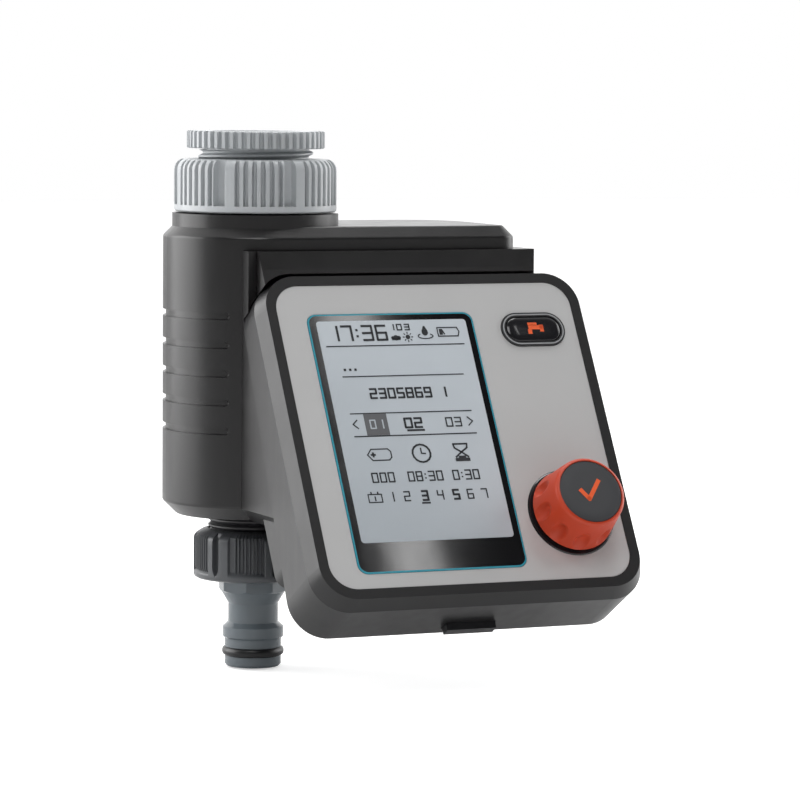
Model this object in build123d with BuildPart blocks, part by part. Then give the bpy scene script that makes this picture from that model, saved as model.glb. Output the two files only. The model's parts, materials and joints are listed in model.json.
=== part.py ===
"""Battery water timer for a garden tap: valve housing, threaded fittings and a removable control unit.

Millimetres, +Z up, the panel faces -Y. The origin is the mouth of the tap thread, on the valve axis.
"""
from build123d import *
from math import cos, radians, sin
import os

os.makedirs("parts", exist_ok=True)

# ---------------------------------------------------------------- driving sizes
# threads (outside radii of G1 and G3/4, and their pitches)
G1_R, G1_PITCH = 16.62, 2.309
G34_R, G34_PITCH = 13.22, 1.814
G34_MINOR_R = 12.06
THREAD_DEPTH = 0.9

# clearances
FIT = 0.10            # sliding fit, radial
FREE = 0.30           # moving faces that never touch
SEAM = 0.30           # visible gap between mouldings

# fittings on the valve axis
ADAPTER_R, ADAPTER_RIM = 19.9, 5.0
ADAPTER_LENGTH = 14.2
ADAPTER_LIP_R = 9.0
TAP_BORE = 10.2       # length of the tap thread
TAP_WASHER_R, WASHER_SEAT = 12.6, -12.3
UNION_R, UNION_TOP, UNION_BOTTOM = 23.45, -8.0, -23.1
OUTLET_NUT_R, OUTLET_NUT_TOP, OUTLET_NUT_BOTTOM = 17.4, -115.0, -129.5
FLUTES = 50

# valve
INLET_FLANGE_R, INLET_FLANGE_TOP, INLET_FLANGE_BOTTOM = 15.3, -16.9, -19.6
NECK_R, WATERWAY_R = 12.7, 9.6
SPOUT_BOTTOM = -121.4
SPOUT_BORE_R = 9.0
VALVE_Z = -72.0       # height of the solenoid axis
CHAMBER_R, CHAMBER_X = 17.0, 21.0
SEAT_R = 6.0
DIAPHRAGM_T = 1.4
BONNET_T = 4.0
COIL_R, COIL_LENGTH = 11.5, 22.0
PLUNGER_R, PLUNGER_TRAVEL = 3.0, 2.0

# housing
HOUSING_R = 26.6      # round left end, and half the depth
HOUSING_RIGHT = 72.0
HOUSING_TOP, HOUSING_BOTTOM = -26.8, -110.5
REAR_CORNER_R, FRONT_CORNER_R = 19.0, 6.0
SHOULDER, KEEL = 3.2, 3.9          # chamfers at the top and at the bottom
WALL = 2.2
COLLAR_R, COLLAR_TOP = HOUSING_R - 2.6, -23.6
EDGE_R = 0.9          # rounding of the housing's long edges
SPLIT_Y = 1.5
GRIP_TOP, GRIP_PITCH, GRIP_COUNT = -51.2, 8.17, 5
GRIP_WIDTH, GRIP_DEPTH, GRIP_END = 2.0, 0.9, -16.0
POD_TOP = -33.5
HOOD_FRONT, HOOD_SEAM = -HOUSING_R - 2.3, -HOUSING_R - 1.3
HOOD_INSET = 2.4

# control unit, on a leaning panel
TILT = 30.5
PANEL_X, PANEL_Y, PANEL_Z = 37.15, -HOUSING_R - 31.4, -82.9
FASCIA_W, FASCIA_H, FASCIA_T, FASCIA_R = 91.2, 92.5, 0.8, 7.5
RIM = 3.0             # dark margin round the fascia
FLARE, FLARE_DEPTH = 2.0, 4.5
REAR_ANGLE = 5.7      # the rear of the unit leans less than its panel
UNIT_DEPTH = 17.7     # at the middle of the panel
UNIT_WALL = 2.0
UNIT_LEFT = PANEL_X - FASCIA_W / 2 - RIM - FLARE
POD_LEFT, POD_RIGHT = UNIT_LEFT + 0.55, UNIT_LEFT + 89.45
WINDOW_W, WINDOW_H = FASCIA_W - 40.3, FASCIA_H - 13.3
WINDOW_U = 8.35 + (WINDOW_W - FASCIA_W) / 2
WINDOW_V = 4.25 + (WINDOW_H - FASCIA_H) / 2
WINDOW_R, WINDOW_T = 3.0, 1.5
LCD_W, LCD_H, LCD_V = WINDOW_W - 5.1, WINDOW_H - 10.8, WINDOW_V + 4.3
BUTTON_W, BUTTON_H = 17.2, 7.8
BUTTON_U, BUTTON_V = FASCIA_W / 2 - 13.7, FASCIA_H / 2 - 15.05
BEZEL_BAND = 1.2
BUTTON_TRAVEL = 0.8
KNOB_U, KNOB_V = FASCIA_W / 2 - 15.2, 19.95 - FASCIA_H / 2
KNOB_BASE_R, KNOB_TOP_R, KNOB_H = 12.2, 10.3, 13.4
KNOB_GRIPS = 10
KNOB_TRAVEL = 0.7
SHAFT_R = 3.0
BOARD_T, BOARD_W = 1.6, 7.3 - UNIT_DEPTH      # thickness, and depth of its rear face behind the panel
BATTERY_L, BATTERY_B, BATTERY_T = 48.5, 26.5, 17.5
BAY_LEFT = UNIT_LEFT - PANEL_X + 2.6
BAY_TOP_V = 44.75 - FASCIA_H / 2
BAY_WALL = 1.6
LATCH_W, LATCH_U, LATCH_TRAVEL = 15.0, 0.4, 1.5
LATCH_FRONT, LATCH_T, LATCH_OUT = 6.125 - UNIT_DEPTH - 0.05 * FASCIA_H, 3.2, 2.0
SPRING_R = 1.1
STOP_V = 8.25 - FASCIA_H / 2
COVER_T = 2.6
COVER_SCREW_U, COVER_SCREW_V = FASCIA_W / 2 - 2.6, FASCIA_H / 2 - 4.25
COVER_SCREW_R, COVER_HEAD_R = 1.1, 2.5
PIN_R, PIN_PITCH, PAD_R = 0.8, 5.0, 1.8
PIN_PLACES = [(18 + PIN_PITCH * k, 12.0) for k in range(3)]

# screws of the housing
SCREW_ROWS = (HOUSING_TOP - 14.2, HOUSING_BOTTOM + 11.5)
SHELL_SCREWS = [(x, z) for z in SCREW_ROWS for x in (7.0 - HOUSING_R, HOUSING_RIGHT - 5.4)]
SCREW_R, SCREW_HEAD_R = 1.5, 2.7
PILLAR_R, PILLAR_FRONT, PILLAR_REAR = 3.5, 13.0, 12.0

# hose nipple
NIPPLE_BORE_R, NIPPLE_NECK_R = 5.6, 10.2
HEX_BOTTOM = -133.6
COLLAR_HIGH, COLLAR_LOW, COLLAR_LOCK_R = -143.0, -147.2, 8.85
BARREL_R, GROOVE_R = 8.25, 6.95
GROOVE_HIGH, GROOVE_LOW = -149.7, -152.3
NIPPLE_END = -155.4

# small round and slotted fits of the panel
BEZEL_W, BEZEL_H = BUTTON_W + 2 * (0.15 + BEZEL_BAND), BUTTON_H + 2 * (0.15 + BEZEL_BAND)
BUSH_R = SHAFT_R + 1.0
ROTOR_R = SHAFT_R + 2.0
RING_R, RING_TOP = KNOB_BASE_R + 0.8, 0.15
KNOB_DISC_R = KNOB_TOP_R - 1.0


# ---------------------------------------------------------------- frames and profiles
NORMAL = Vector(0, -cos(radians(TILT)), sin(radians(TILT)))
UP_PANEL = Vector(0, sin(radians(TILT)), cos(radians(TILT)))
CENTRE = Vector(PANEL_X, PANEL_Y, PANEL_Z)


def panel(depth=0.0, u=0.0, v=0.0):
    """Plane parallel to the panel: x to the right, y up the panel, z out of it."""
    origin = CENTRE + Vector(u, 0, 0) + UP_PANEL * v + NORMAL * depth
    return Plane(origin=origin, x_dir=(1, 0, 0), z_dir=NORMAL)


def rear_plane(gap=0.0):
    """Plane of the unit's rear rim; z points out of the panel."""
    lean = radians(TILT - REAR_ANGLE)
    facing = Vector(0, -cos(lean), sin(lean))
    return Plane(origin=CENTRE + NORMAL * (-UNIT_DEPTH) - facing * gap, x_dir=(1, 0, 0), z_dir=facing)


def side_point(v, w):
    """Global (y, z) of a point v up the panel and w out of it."""
    point = CENTRE + UP_PANEL * v + NORMAL * w
    return (point.Y, point.Z)


def at_height(z, w):
    """Global (y, z) of the point at height z on the plane w out of the panel."""
    v = (z - PANEL_Z - w * NORMAL.Z) / UP_PANEL.Z
    return side_point(v, w)


def keep_behind(plane, size=400):
    """Half space behind a plane."""
    return Solid.make_box(size, size, size, plane.offset(-size)).moved(
        Location(plane.x_dir * (-size / 2) + plane.y_dir * (-size / 2)))


def keep_before(plane, size=400):
    """Half space in front of a plane."""
    return Solid.make_box(size, size, size, plane).moved(
        Location(plane.x_dir * (-size / 2) + plane.y_dir * (-size / 2)))


def save(part, name):
    part.label = name
    export_step(part, f"parts/{name}.step")


def ring(outer, inner, low, high):
    """Plain ring round the valve axis."""
    with BuildPart() as made:
        with BuildSketch(Plane.XY.offset(low)):
            Circle(outer)
            Circle(inner, mode=Mode.SUBTRACT)
        extrude(amount=high - low)
    return made.part


def threaded(radius, pitch, high, low):
    """Half profile points of thread ridges from high down to low, crest then root."""
    points = []
    turns = int((high - low) / pitch)
    for turn in range(turns):
        top = high - turn * pitch
        points += [(radius - THREAD_DEPTH, top), (radius, top - 0.38 * pitch)]
        points += [(radius, top - 0.62 * pitch)]
    points += [(radius - THREAD_DEPTH, high - turns * pitch)]
    return points


def revolved(points):
    """Solid of revolution round the valve axis from (radius, z) points."""
    with BuildPart() as made:
        with BuildSketch(Plane.XZ):
            with BuildLine():
                Polyline(points, close=True)
            make_face()
        revolve(axis=Axis.Z)
    return made.part


# ---------------------------------------------------------------- tap adapter and union nut
with BuildPart() as tap_adapter:
    g1_top = -ADAPTER_RIM
    outline = [(G34_MINOR_R, 0), (ADAPTER_R - 0.8, 0), (ADAPTER_R, -0.8), (ADAPTER_R, 0.5 - ADAPTER_RIM)]
    outline += [(ADAPTER_R - 0.5, -ADAPTER_RIM)]
    outline += threaded(G1_R, G1_PITCH, g1_top - 0.4, -ADAPTER_LENGTH + 0.3)
    outline += [(G1_R - THREAD_DEPTH, -ADAPTER_LENGTH), (ADAPTER_LIP_R, -ADAPTER_LENGTH)]
    outline += [(ADAPTER_LIP_R, WASHER_SEAT), (TAP_WASHER_R + FIT, WASHER_SEAT)]
    outline += [(TAP_WASHER_R + FIT, -TAP_BORE), (G34_MINOR_R, -TAP_BORE)]
    add(revolved(outline))
    with BuildSketch(Plane.XY):
        with PolarLocations(ADAPTER_R, FLUTES):
            Circle(0.55)
    extrude(amount=-ADAPTER_RIM, mode=Mode.SUBTRACT)
save(tap_adapter.part, "tap_adapter")

adapter_washer = ring(TAP_WASHER_R, ADAPTER_LIP_R, WASHER_SEAT, -TAP_BORE - 0.1)
save(adapter_washer, "adapter_washer")

UNION_FLOOR = INLET_FLANGE_BOTTOM - FREE
with BuildPart() as union_nut:
    bore = G1_R + FIT
    outline = [(bore, UNION_TOP), (UNION_R - 2.6, UNION_TOP), (UNION_R - 0.8, UNION_TOP - 0.9)]
    outline += [(UNION_R, UNION_TOP - 2.8), (UNION_R, UNION_BOTTOM + 0.6), (UNION_R - 0.6, UNION_BOTTOM)]
    outline += [(NECK_R + FREE, UNION_BOTTOM), (NECK_R + FREE, UNION_FLOOR), (bore, UNION_FLOOR)]
    add(revolved(outline))
    # six wide finger grooves, with fine ribs between them
    with BuildSketch(Plane.XY.offset(UNION_BOTTOM + 2.2)):
        with PolarLocations(UNION_R + 0.9, 6):
            SlotOverall(6.2, 3.4, rotation=90)
        for group in range(6):
            with PolarLocations(UNION_R + 0.25, 6, start_angle=60 * group + 17, angular_range=27,
                                endpoint=True):
                Circle(0.62)
    extrude(amount=20, mode=Mode.SUBTRACT)
save(union_nut.part, "union_nut")

inlet_washer = ring(INLET_FLANGE_R, ADAPTER_LIP_R + 0.4, INLET_FLANGE_TOP, INLET_FLANGE_TOP + 2.4)
save(inlet_washer, "inlet_washer")

with BuildPart() as inlet_filter:
    rim_r = WATERWAY_R - FIT
    outline = [(rim_r - 1.6, INLET_FLANGE_TOP), (rim_r, INLET_FLANGE_TOP), (rim_r, -19.5), (rim_r - 0.6, -20)]
    outline += [(5.0, -38), (0, -38), (0, -36.8), (3.9, -36.8), (rim_r - 1.8, -20)]
    add(revolved(outline))
save(inlet_filter.part, "inlet_filter")


# ---------------------------------------------------------------- valve, inside the housing
with BuildPart() as valve_body:
    spout_top = HOUSING_BOTTOM - 0.8
    outline = [(WATERWAY_R, INLET_FLANGE_TOP), (INLET_FLANGE_R, INLET_FLANGE_TOP)]
    outline += [(INLET_FLANGE_R, INLET_FLANGE_BOTTOM), (NECK_R, INLET_FLANGE_BOTTOM)]
    outline += [(NECK_R, spout_top)]
    outline += threaded(G34_R, G34_PITCH, spout_top, SPOUT_BOTTOM + 0.2)
    outline += [(G34_R - THREAD_DEPTH, SPOUT_BOTTOM), (SPOUT_BORE_R, SPOUT_BOTTOM)]
    outline += [(SPOUT_BORE_R, -100), (WATERWAY_R - 0.6, -98), (WATERWAY_R - 0.6, -52), (WATERWAY_R, -50)]
    add(revolved(outline))
    # diaphragm chamber, a drum across the pipe with its seat facing +X
    with BuildSketch(Plane.YZ.offset(8)):
        with Locations((0, VALVE_Z)):
            Circle(CHAMBER_R)
    extrude(amount=CHAMBER_X - 8)
    with BuildSketch(Plane.XY.offset(-98)):
        Circle(WATERWAY_R - 0.6)
    extrude(amount=46, mode=Mode.SUBTRACT)
    with BuildSketch(Plane.YZ.offset(CHAMBER_X)):
        with Locations((0, VALVE_Z)):
            Circle(CHAMBER_R - 4.2)
            Circle(SEAT_R + 1.5, mode=Mode.SUBTRACT)
    extrude(amount=-6, mode=Mode.SUBTRACT)
    with BuildSketch(Plane.YZ.offset(CHAMBER_X)):
        with Locations((0, VALVE_Z)):
            Circle(SEAT_R)
    extrude(amount=-CHAMBER_X + 6, mode=Mode.SUBTRACT)
save(valve_body.part, "valve_body")

BONNET_X = CHAMBER_X + DIAPHRAGM_T
GUIDE_R, GUIDE_END = PLUNGER_R + 1.4, BONNET_X + 28.0
with BuildPart() as diaphragm:
    with BuildSketch(Plane.YZ.offset(CHAMBER_X)):
        with Locations((0, VALVE_Z)):
            Circle(CHAMBER_R - 1.0)
    extrude(amount=DIAPHRAGM_T)
save(diaphragm.part, "diaphragm")

with BuildPart() as valve_bonnet:
    with BuildSketch(Plane.YZ.offset(BONNET_X)):
        with Locations((0, VALVE_Z)):
            Circle(CHAMBER_R)
    extrude(amount=BONNET_T)
    with BuildSketch(Plane.YZ.offset(BONNET_X + BONNET_T)):
        with Locations((0, VALVE_Z)):
            Circle(GUIDE_R)
    extrude(amount=GUIDE_END - BONNET_X - BONNET_T)
    with BuildSketch(Plane.YZ.offset(BONNET_X)):
        with Locations((0, VALVE_Z)):
            Circle(PLUNGER_R + FIT)
    extrude(amount=GUIDE_END - BONNET_X - 1.5, mode=Mode.SUBTRACT)
    with BuildSketch(Plane.YZ.offset(BONNET_X)):
        with Locations((0, VALVE_Z)):
            with PolarLocations(CHAMBER_R - 2.6, 4, start_angle=45):
                Circle(1.25)
    extrude(amount=BONNET_T, mode=Mode.SUBTRACT)
save(valve_bonnet.part, "valve_bonnet")

with BuildPart() as bonnet_screws:
    with BuildSketch(Plane.YZ.offset(BONNET_X + BONNET_T)):
        with Locations((0, VALVE_Z)):
            with PolarLocations(CHAMBER_R - 2.6, 4, start_angle=45):
                Circle(2.2)
    extrude(amount=1.8)
    with BuildSketch(Plane.YZ.offset(BONNET_X + 0.2)):
        with Locations((0, VALVE_Z)):
            with PolarLocations(CHAMBER_R - 2.6, 4, start_angle=45):
                Circle(1.2)
    extrude(amount=BONNET_T - 0.2)
save(bonnet_screws.part, "bonnet_screws")

PLUNGER_START = BONNET_X + 0.3
PLUNGER_LENGTH = 16.0
with BuildPart() as plunger:
    with BuildSketch(Plane.YZ.offset(PLUNGER_START)):
        with Locations((0, VALVE_Z)):
            Circle(PLUNGER_R)
    extrude(amount=PLUNGER_LENGTH)
save(plunger.part, "plunger")

with BuildPart() as plunger_spring:
    spring_start = PLUNGER_START + PLUNGER_LENGTH + 0.1
    with BuildSketch(Plane.YZ.offset(spring_start)):
        with Locations((0, VALVE_Z)):
            Circle(PLUNGER_R - 0.3)
            Circle(PLUNGER_R - 1.1, mode=Mode.SUBTRACT)
    extrude(amount=GUIDE_END - 1.6 - spring_start)
save(plunger_spring.part, "plunger_spring")

COIL_START = BONNET_X + BONNET_T + 2.0
with BuildPart() as solenoid_coil:
    with BuildSketch(Plane.YZ.offset(COIL_START)):
        with Locations((0, VALVE_Z)):
            Circle(COIL_R)
            Circle(GUIDE_R + FIT, mode=Mode.SUBTRACT)
    extrude(amount=COIL_LENGTH - 2)
save(solenoid_coil.part, "solenoid_coil")

with BuildPart() as solenoid_yoke:
    # steel strap folded round the coil, open in front and behind
    yoke_h = 2 * COIL_R + 0.6
    with BuildSketch(Plane.XZ.offset(-7.4)):
        with Locations((COIL_START + COIL_LENGTH / 2 - 1, VALVE_Z)):
            Rectangle(COIL_LENGTH - 1.8 + 3.4, yoke_h + 3.2)
            Rectangle(COIL_LENGTH - 1.8, yoke_h, mode=Mode.SUBTRACT)
    extrude(amount=14.8)
    with BuildSketch(Plane.YZ.offset(COIL_START - 4)):
        with Locations((0, VALVE_Z)):
            Circle(GUIDE_R + FIT)
    extrude(amount=COIL_LENGTH + 8, mode=Mode.SUBTRACT)
save(solenoid_yoke.part, "solenoid_yoke")


# ---------------------------------------------------------------- housing
def housing_block(inset):
    """Main body with chamfered top and bottom, drawn in by inset."""
    half = HOUSING_R - inset
    right = HOUSING_RIGHT - inset
    front_r, rear_r = FRONT_CORNER_R - inset, REAR_CORNER_R - inset
    with BuildPart() as block:
        with BuildSketch(Plane.XY.offset(HOUSING_BOTTOM + inset)):
            with BuildLine():
                Line((0, half), (right - rear_r, half))
                RadiusArc((right - rear_r, half), (right, half - rear_r), rear_r)
                Line((right, half - rear_r), (right, -half + front_r))
                RadiusArc((right, -half + front_r), (right - front_r, -half), front_r)
                Line((right - front_r, -half), (0, -half))
                ThreePointArc((0, -half), (-half, 0), (0, half))
            make_face()
        extrude(amount=HOUSING_TOP - HOUSING_BOTTOM - 2 * inset)
        # a 45 degree chamfer keeps the wall's thickness when it shrinks by this share of the inset
        slim = (2 - 2 ** 0.5) * inset
        chamfer(block.faces().sort_by(Axis.Z)[-1].edges(), length=SHOULDER - slim)
        chamfer(block.faces().sort_by(Axis.Z)[0].edges(), length=KEEL - slim)
        if inset == 0:
            level = [e for e in block.edges() if e.bounding_box().size.Z < 0.001]
            fillet(level, radius=EDGE_R)
    return block.part


def pod_block(left, right, inset, top, front):
    """Wedge in front of the body that carries the control unit."""
    lip = side_point(FASCIA_H / 2 + RIM + 2.2, 0.4)
    back = -HOUSING_R + 12
    floor = HOUSING_BOTTOM + inset
    with BuildPart() as block:
        with BuildSketch(Plane.YZ.offset(left)):
            with BuildLine():
                Polyline((back, top), (front, top), lip, at_height(floor, 0.4), (back, floor), close=True)
            make_face()
        extrude(amount=right - left)
    return block.part


def unit_outline(plane, grow=0.0, flared=True):
    """Rounded outline of the control unit, grown all round."""
    flare = FLARE if flared else 0.0
    low = -FASCIA_H / 2 - RIM - flare - grow
    high = FASCIA_H / 2 + RIM + 0.25 * flare + grow
    width = FASCIA_W + 2 * (RIM + flare + grow)
    with BuildSketch(plane) as outline:
        with Locations((0, (low + high) / 2)):
            RectangleRounded(width, high - low, 10.0 + flare / 2 + grow)
    return outline.sketch


def unit_space(grow, gap):
    """Room of the control unit, grown all round, in front of a plane gap behind its rear rim."""
    with BuildPart() as space:
        with BuildSketch(panel(-60)):
            add(unit_outline(Plane.XY, grow))
        extrude(amount=80)
    return space.part & keep_before(rear_plane(gap))


BAY_RIGHT = BAY_LEFT + BATTERY_L + 2 * BAY_WALL + 2.0
BAY_BOTTOM_V = BAY_TOP_V - BATTERY_B - 2 * BAY_WALL - 0.8
BAY_REAR = BOARD_W - 2.4 - BATTERY_T - BAY_WALL - 0.6
BAY_R = 4.0


def bay_block(grow, front):
    """Battery bay at the rear of the unit, grown all round, from its rear wall out to front."""
    with BuildPart() as block:
        with BuildSketch(panel(BAY_REAR - grow)):
            with Locations(((BAY_LEFT + BAY_RIGHT) / 2, (BAY_TOP_V + BAY_BOTTOM_V) / 2)):
                RectangleRounded(BAY_RIGHT - BAY_LEFT + 2 * grow, BAY_TOP_V - BAY_BOTTOM_V + 2 * grow,
                                 BAY_R + grow)
        extrude(amount=front - BAY_REAR + grow)
    return block.part


# outside of the housing, as one block
with BuildPart() as housing_outer:
    add(housing_block(0.0))
    # the pod stops at the unit's rear rim, and its bottom edges are chamfered
    pod = pod_block(POD_LEFT, POD_RIGHT, 0.0, POD_TOP, HOOD_FRONT)
    pod = pod & keep_behind(rear_plane(SEAM))
    side_edges = [e for e in pod.edges() if abs(e.center().Z - HOUSING_BOTTOM) < 0.01
                  and abs(e.tangent_at(0.5).Y) > 0.9]
    pod = pod.chamfer(KEEL, None, side_edges)
    add(pod)
    # boss under the union nut
    with BuildSketch(Plane.XY.offset(HOUSING_TOP - 1)):
        Circle(COLLAR_R)
    extrude(amount=COLLAR_TOP - HOUSING_TOP + 1)

def grip_groove(middle):
    """One groove round the left end, with rounded ends, centred on that height."""
    reach = 60.0
    with BuildPart() as slot:
        with BuildSketch(Plane.XZ.offset(-reach)):
            with Locations((GRIP_END - reach / 2, middle)):
                SlotOverall(reach, GRIP_WIDTH)
        extrude(amount=2 * reach)
    band = ring(HOUSING_R + 2, HOUSING_R - GRIP_DEPTH, middle - GRIP_WIDTH, middle + GRIP_WIDTH)
    return slot.part & band


def above_unit(left, right):
    """What fills the pod's outline above the control unit, clear of the unit by the seam."""
    with BuildPart() as wedge:
        add(pod_block(left, right, 0.0, POD_TOP, HOOD_FRONT) & keep_before(rear_plane(SEAM)))
        with BuildSketch(panel(-60)):
            add(unit_outline(Plane.XY, SEAM))
        extrude(amount=70, mode=Mode.SUBTRACT)
        with BuildSketch(Plane.XY.offset(HOUSING_BOTTOM - 40)):
            with Locations((PANEL_X, PANEL_Y)):
                Rectangle(300, 200)
        extrude(amount=side_point(30, 0)[1] - HOUSING_BOTTOM + 40, mode=Mode.SUBTRACT)
    return wedge.part


with BuildPart() as housing_cavity:
    add(housing_block(WALL))
    inner = pod_block(POD_LEFT + WALL, POD_RIGHT - WALL, WALL, POD_TOP - WALL, HOOD_FRONT + 3.0)
    add(inner & keep_behind(rear_plane(SEAM + WALL)))
    add(unit_space(SEAM + WALL, SEAM + WALL), mode=Mode.SUBTRACT)

with BuildPart() as housing_full:
    add(housing_outer.part)
    add(housing_cavity.part, mode=Mode.SUBTRACT)
    # strip of the pod above the unit, behind the hood's seam
    add(above_unit(POD_LEFT, POD_RIGHT) & keep_behind(Plane.XZ.offset(-HOOD_SEAM)))
    # walls round the pocket for the battery bay
    pocket_walls = bay_block(FREE + BAY_WALL, 0.0) & housing_outer.part
    add(pocket_walls)
    add(bay_block(FREE, 60.0), mode=Mode.SUBTRACT)
    add(unit_space(SEAM, SEAM), mode=Mode.SUBTRACT)
    # bosses that hold the valve neck and the spout
    add(ring(NECK_R + FIT + 2.6, NECK_R + FIT - 1, HOUSING_TOP - 8, HOUSING_TOP))
    with BuildSketch(Plane.XY.offset(HOUSING_BOTTOM - 1)):
        Circle(NECK_R + FIT)
    extrude(amount=COLLAR_TOP - HOUSING_BOTTOM + 2, mode=Mode.SUBTRACT)
    # grip grooves round the left end
    for row in range(GRIP_COUNT):
        add(grip_groove(GRIP_TOP - GRIP_WIDTH / 2 - row * GRIP_PITCH), mode=Mode.SUBTRACT)
    # screw pillars, half in each shell
    with BuildSketch(Plane.XZ.offset(-SPLIT_Y)):
        with Locations(*SHELL_SCREWS):
            Circle(PILLAR_R)
    extrude(amount=PILLAR_FRONT)
    with BuildSketch(Plane.XZ.offset(-SPLIT_Y)):
        with Locations(*SHELL_SCREWS):
            Circle(PILLAR_R)
    extrude(amount=-PILLAR_REAR)
    with BuildSketch(Plane.XZ.offset(-SPLIT_Y - 4)):
        with Locations(*SHELL_SCREWS):
            Circle(SCREW_HEAD_R + FREE)
    extrude(amount=-40, mode=Mode.SUBTRACT)
    with BuildSketch(Plane.XZ.offset(-SPLIT_Y - 4)):
        with Locations(*SHELL_SCREWS):
            Circle(SCREW_R + 0.05)
    extrude(amount=14, mode=Mode.SUBTRACT)
    # holes for the contact pins
    with BuildSketch(rear_plane(SEAM + WALL + 2)):
        with Locations(*PIN_PLACES):
            Circle(PIN_R + FIT)
    extrude(amount=WALL + 4, mode=Mode.SUBTRACT)

with BuildPart() as front_shell:
    add(housing_full.part)
    split(bisect_by=Plane.XZ.offset(-SPLIT_Y), keep=Keep.TOP)
save(front_shell.part, "front_shell")

with BuildPart() as rear_shell:
    add(housing_full.part)
    split(bisect_by=Plane.XZ.offset(-SPLIT_Y), keep=Keep.BOTTOM)
save(rear_shell.part, "rear_shell")

with BuildPart() as hood:
    add(above_unit(POD_LEFT + HOOD_INSET, POD_RIGHT - HOOD_INSET)
        & keep_before(Plane.XZ.offset(-HOOD_SEAM + SEAM)))
save(hood.part, "hood")

with BuildPart() as shell_screws:
    with BuildSketch(Plane.XZ.offset(-SPLIT_Y - 4)):
        with Locations(*SHELL_SCREWS):
            Circle(SCREW_HEAD_R)
    extrude(amount=-2.0)
    with BuildSketch(Plane.XZ.offset(-SPLIT_Y - 4)):
        with Locations(*SHELL_SCREWS):
            Circle(SCREW_R)
    extrude(amount=13.0)
save(shell_screws.part, "shell_screws")

with BuildPart() as contact_pins:
    with BuildSketch(rear_plane(SEAM + WALL)):
        with Locations(((PIN_PLACES[0][0] + PIN_PLACES[-1][0]) / 2, PIN_PLACES[0][1])):
            Rectangle(2 * PIN_PITCH + 6, 6)
    extrude(amount=-3.0)
    with BuildSketch(rear_plane(SEAM + WALL)):
        with Locations(*PIN_PLACES):
            Circle(PIN_R)
    extrude(amount=WALL + SEAM - 0.1)
save(contact_pins.part, "contact_pins")


# ---------------------------------------------------------------- outlet
WASHER_TOP = SPOUT_BOTTOM - 0.1
FLANGE_TOP = WASHER_TOP - 2.4
FLANGE_BOTTOM = FLANGE_TOP - 2.2
nipple_washer = ring(G34_R - 0.4, SPOUT_BORE_R, FLANGE_TOP + 0.1, WASHER_TOP)
save(nipple_washer, "nipple_washer")

with BuildPart() as outlet_nut:
    bore = G34_R + FIT
    floor = FLANGE_BOTTOM - FREE
    outline = [(bore, OUTLET_NUT_TOP), (OUTLET_NUT_R - 2.0, OUTLET_NUT_TOP)]
    outline += [(OUTLET_NUT_R - 0.2, OUTLET_NUT_TOP - 1.8), (OUTLET_NUT_R, OUTLET_NUT_BOTTOM + 2.4)]
    outline += [(OUTLET_NUT_R - 0.8, OUTLET_NUT_BOTTOM + 0.8), (OUTLET_NUT_R - 2.4, OUTLET_NUT_BOTTOM)]
    outline += [(NIPPLE_NECK_R + FREE, OUTLET_NUT_BOTTOM), (NIPPLE_NECK_R + FREE, floor), (bore, floor)]
    add(revolved(outline))
    with BuildSketch(Plane.XY.offset(OUTLET_NUT_BOTTOM + 3)):
        with PolarLocations(OUTLET_NUT_R + 0.7, 6, start_angle=30):
            SlotOverall(3.6, 2.6, rotation=90)
        for group in range(6):
            with PolarLocations(OUTLET_NUT_R + 0.2, 7, start_angle=60 * group + 42, angular_range=36,
                                endpoint=True):
                Circle(0.5)
    extrude(amount=20, mode=Mode.SUBTRACT)
save(outlet_nut.part, "outlet_nut")

with BuildPart() as hose_nipple:
    outline = [(NIPPLE_BORE_R, FLANGE_TOP), (G34_R - 0.3, FLANGE_TOP), (G34_R - 0.3, FLANGE_BOTTOM)]
    outline += [(NIPPLE_NECK_R, FLANGE_BOTTOM), (NIPPLE_NECK_R, HEX_BOTTOM + 0.6)]
    outline += [(NIPPLE_NECK_R - 0.9, HEX_BOTTOM), (7.3, HEX_BOTTOM - 3.4), (7.3, COLLAR_HIGH + 0.5)]
    outline += [(7.9, COLLAR_HIGH), (COLLAR_LOCK_R, COLLAR_HIGH - 0.8), (COLLAR_LOCK_R, COLLAR_LOW + 0.5)]
    outline += [(8.3, COLLAR_LOW), (BARREL_R, COLLAR_LOW - 0.4), (BARREL_R, GROOVE_HIGH)]
    outline += [(GROOVE_R, GROOVE_HIGH), (GROOVE_R, GROOVE_LOW), (BARREL_R - 0.05, GROOVE_LOW)]
    outline += [(BARREL_R - 0.05, NIPPLE_END + 0.7), (BARREL_R - 0.6, NIPPLE_END)]
    outline += [(NIPPLE_BORE_R, NIPPLE_END)]
    add(revolved(outline))
    # eight flats under the nut
    with BuildSketch(Plane.XY.offset(HEX_BOTTOM)):
        Circle(NIPPLE_NECK_R + 2)
        RegularPolygon(NIPPLE_NECK_R + 0.05, 8, rotation=12, mode=Mode.SUBTRACT)
    extrude(amount=OUTLET_NUT_BOTTOM - 0.4 - HEX_BOTTOM, mode=Mode.SUBTRACT)
save(hose_nipple.part, "hose_nipple")

with BuildPart() as nipple_o_ring:
    ring_r = (GROOVE_HIGH - GROOVE_LOW) / 2 - 0.1
    with BuildSketch(Plane.XZ):
        with Locations((GROOVE_R + ring_r + 0.05, (GROOVE_HIGH + GROOVE_LOW) / 2)):
            Ellipse(0.82, ring_r)
    revolve(axis=Axis.Z)
save(nipple_o_ring.part, "nipple_o_ring")


# ---------------------------------------------------------------- control unit, frame and cover
PANEL_WALL = -0.9     # front face of the frame's wall, under the fascia
FRAME_BACK = PANEL_WALL - 2.0


def pillar_screws(plane):
    """Sketch locations of the four cover screws on a plane parallel to the unit's rear."""
    return [(u, v) for u in (-COVER_SCREW_U, COVER_SCREW_U) for v in (-COVER_SCREW_V, COVER_SCREW_V)]


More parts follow.
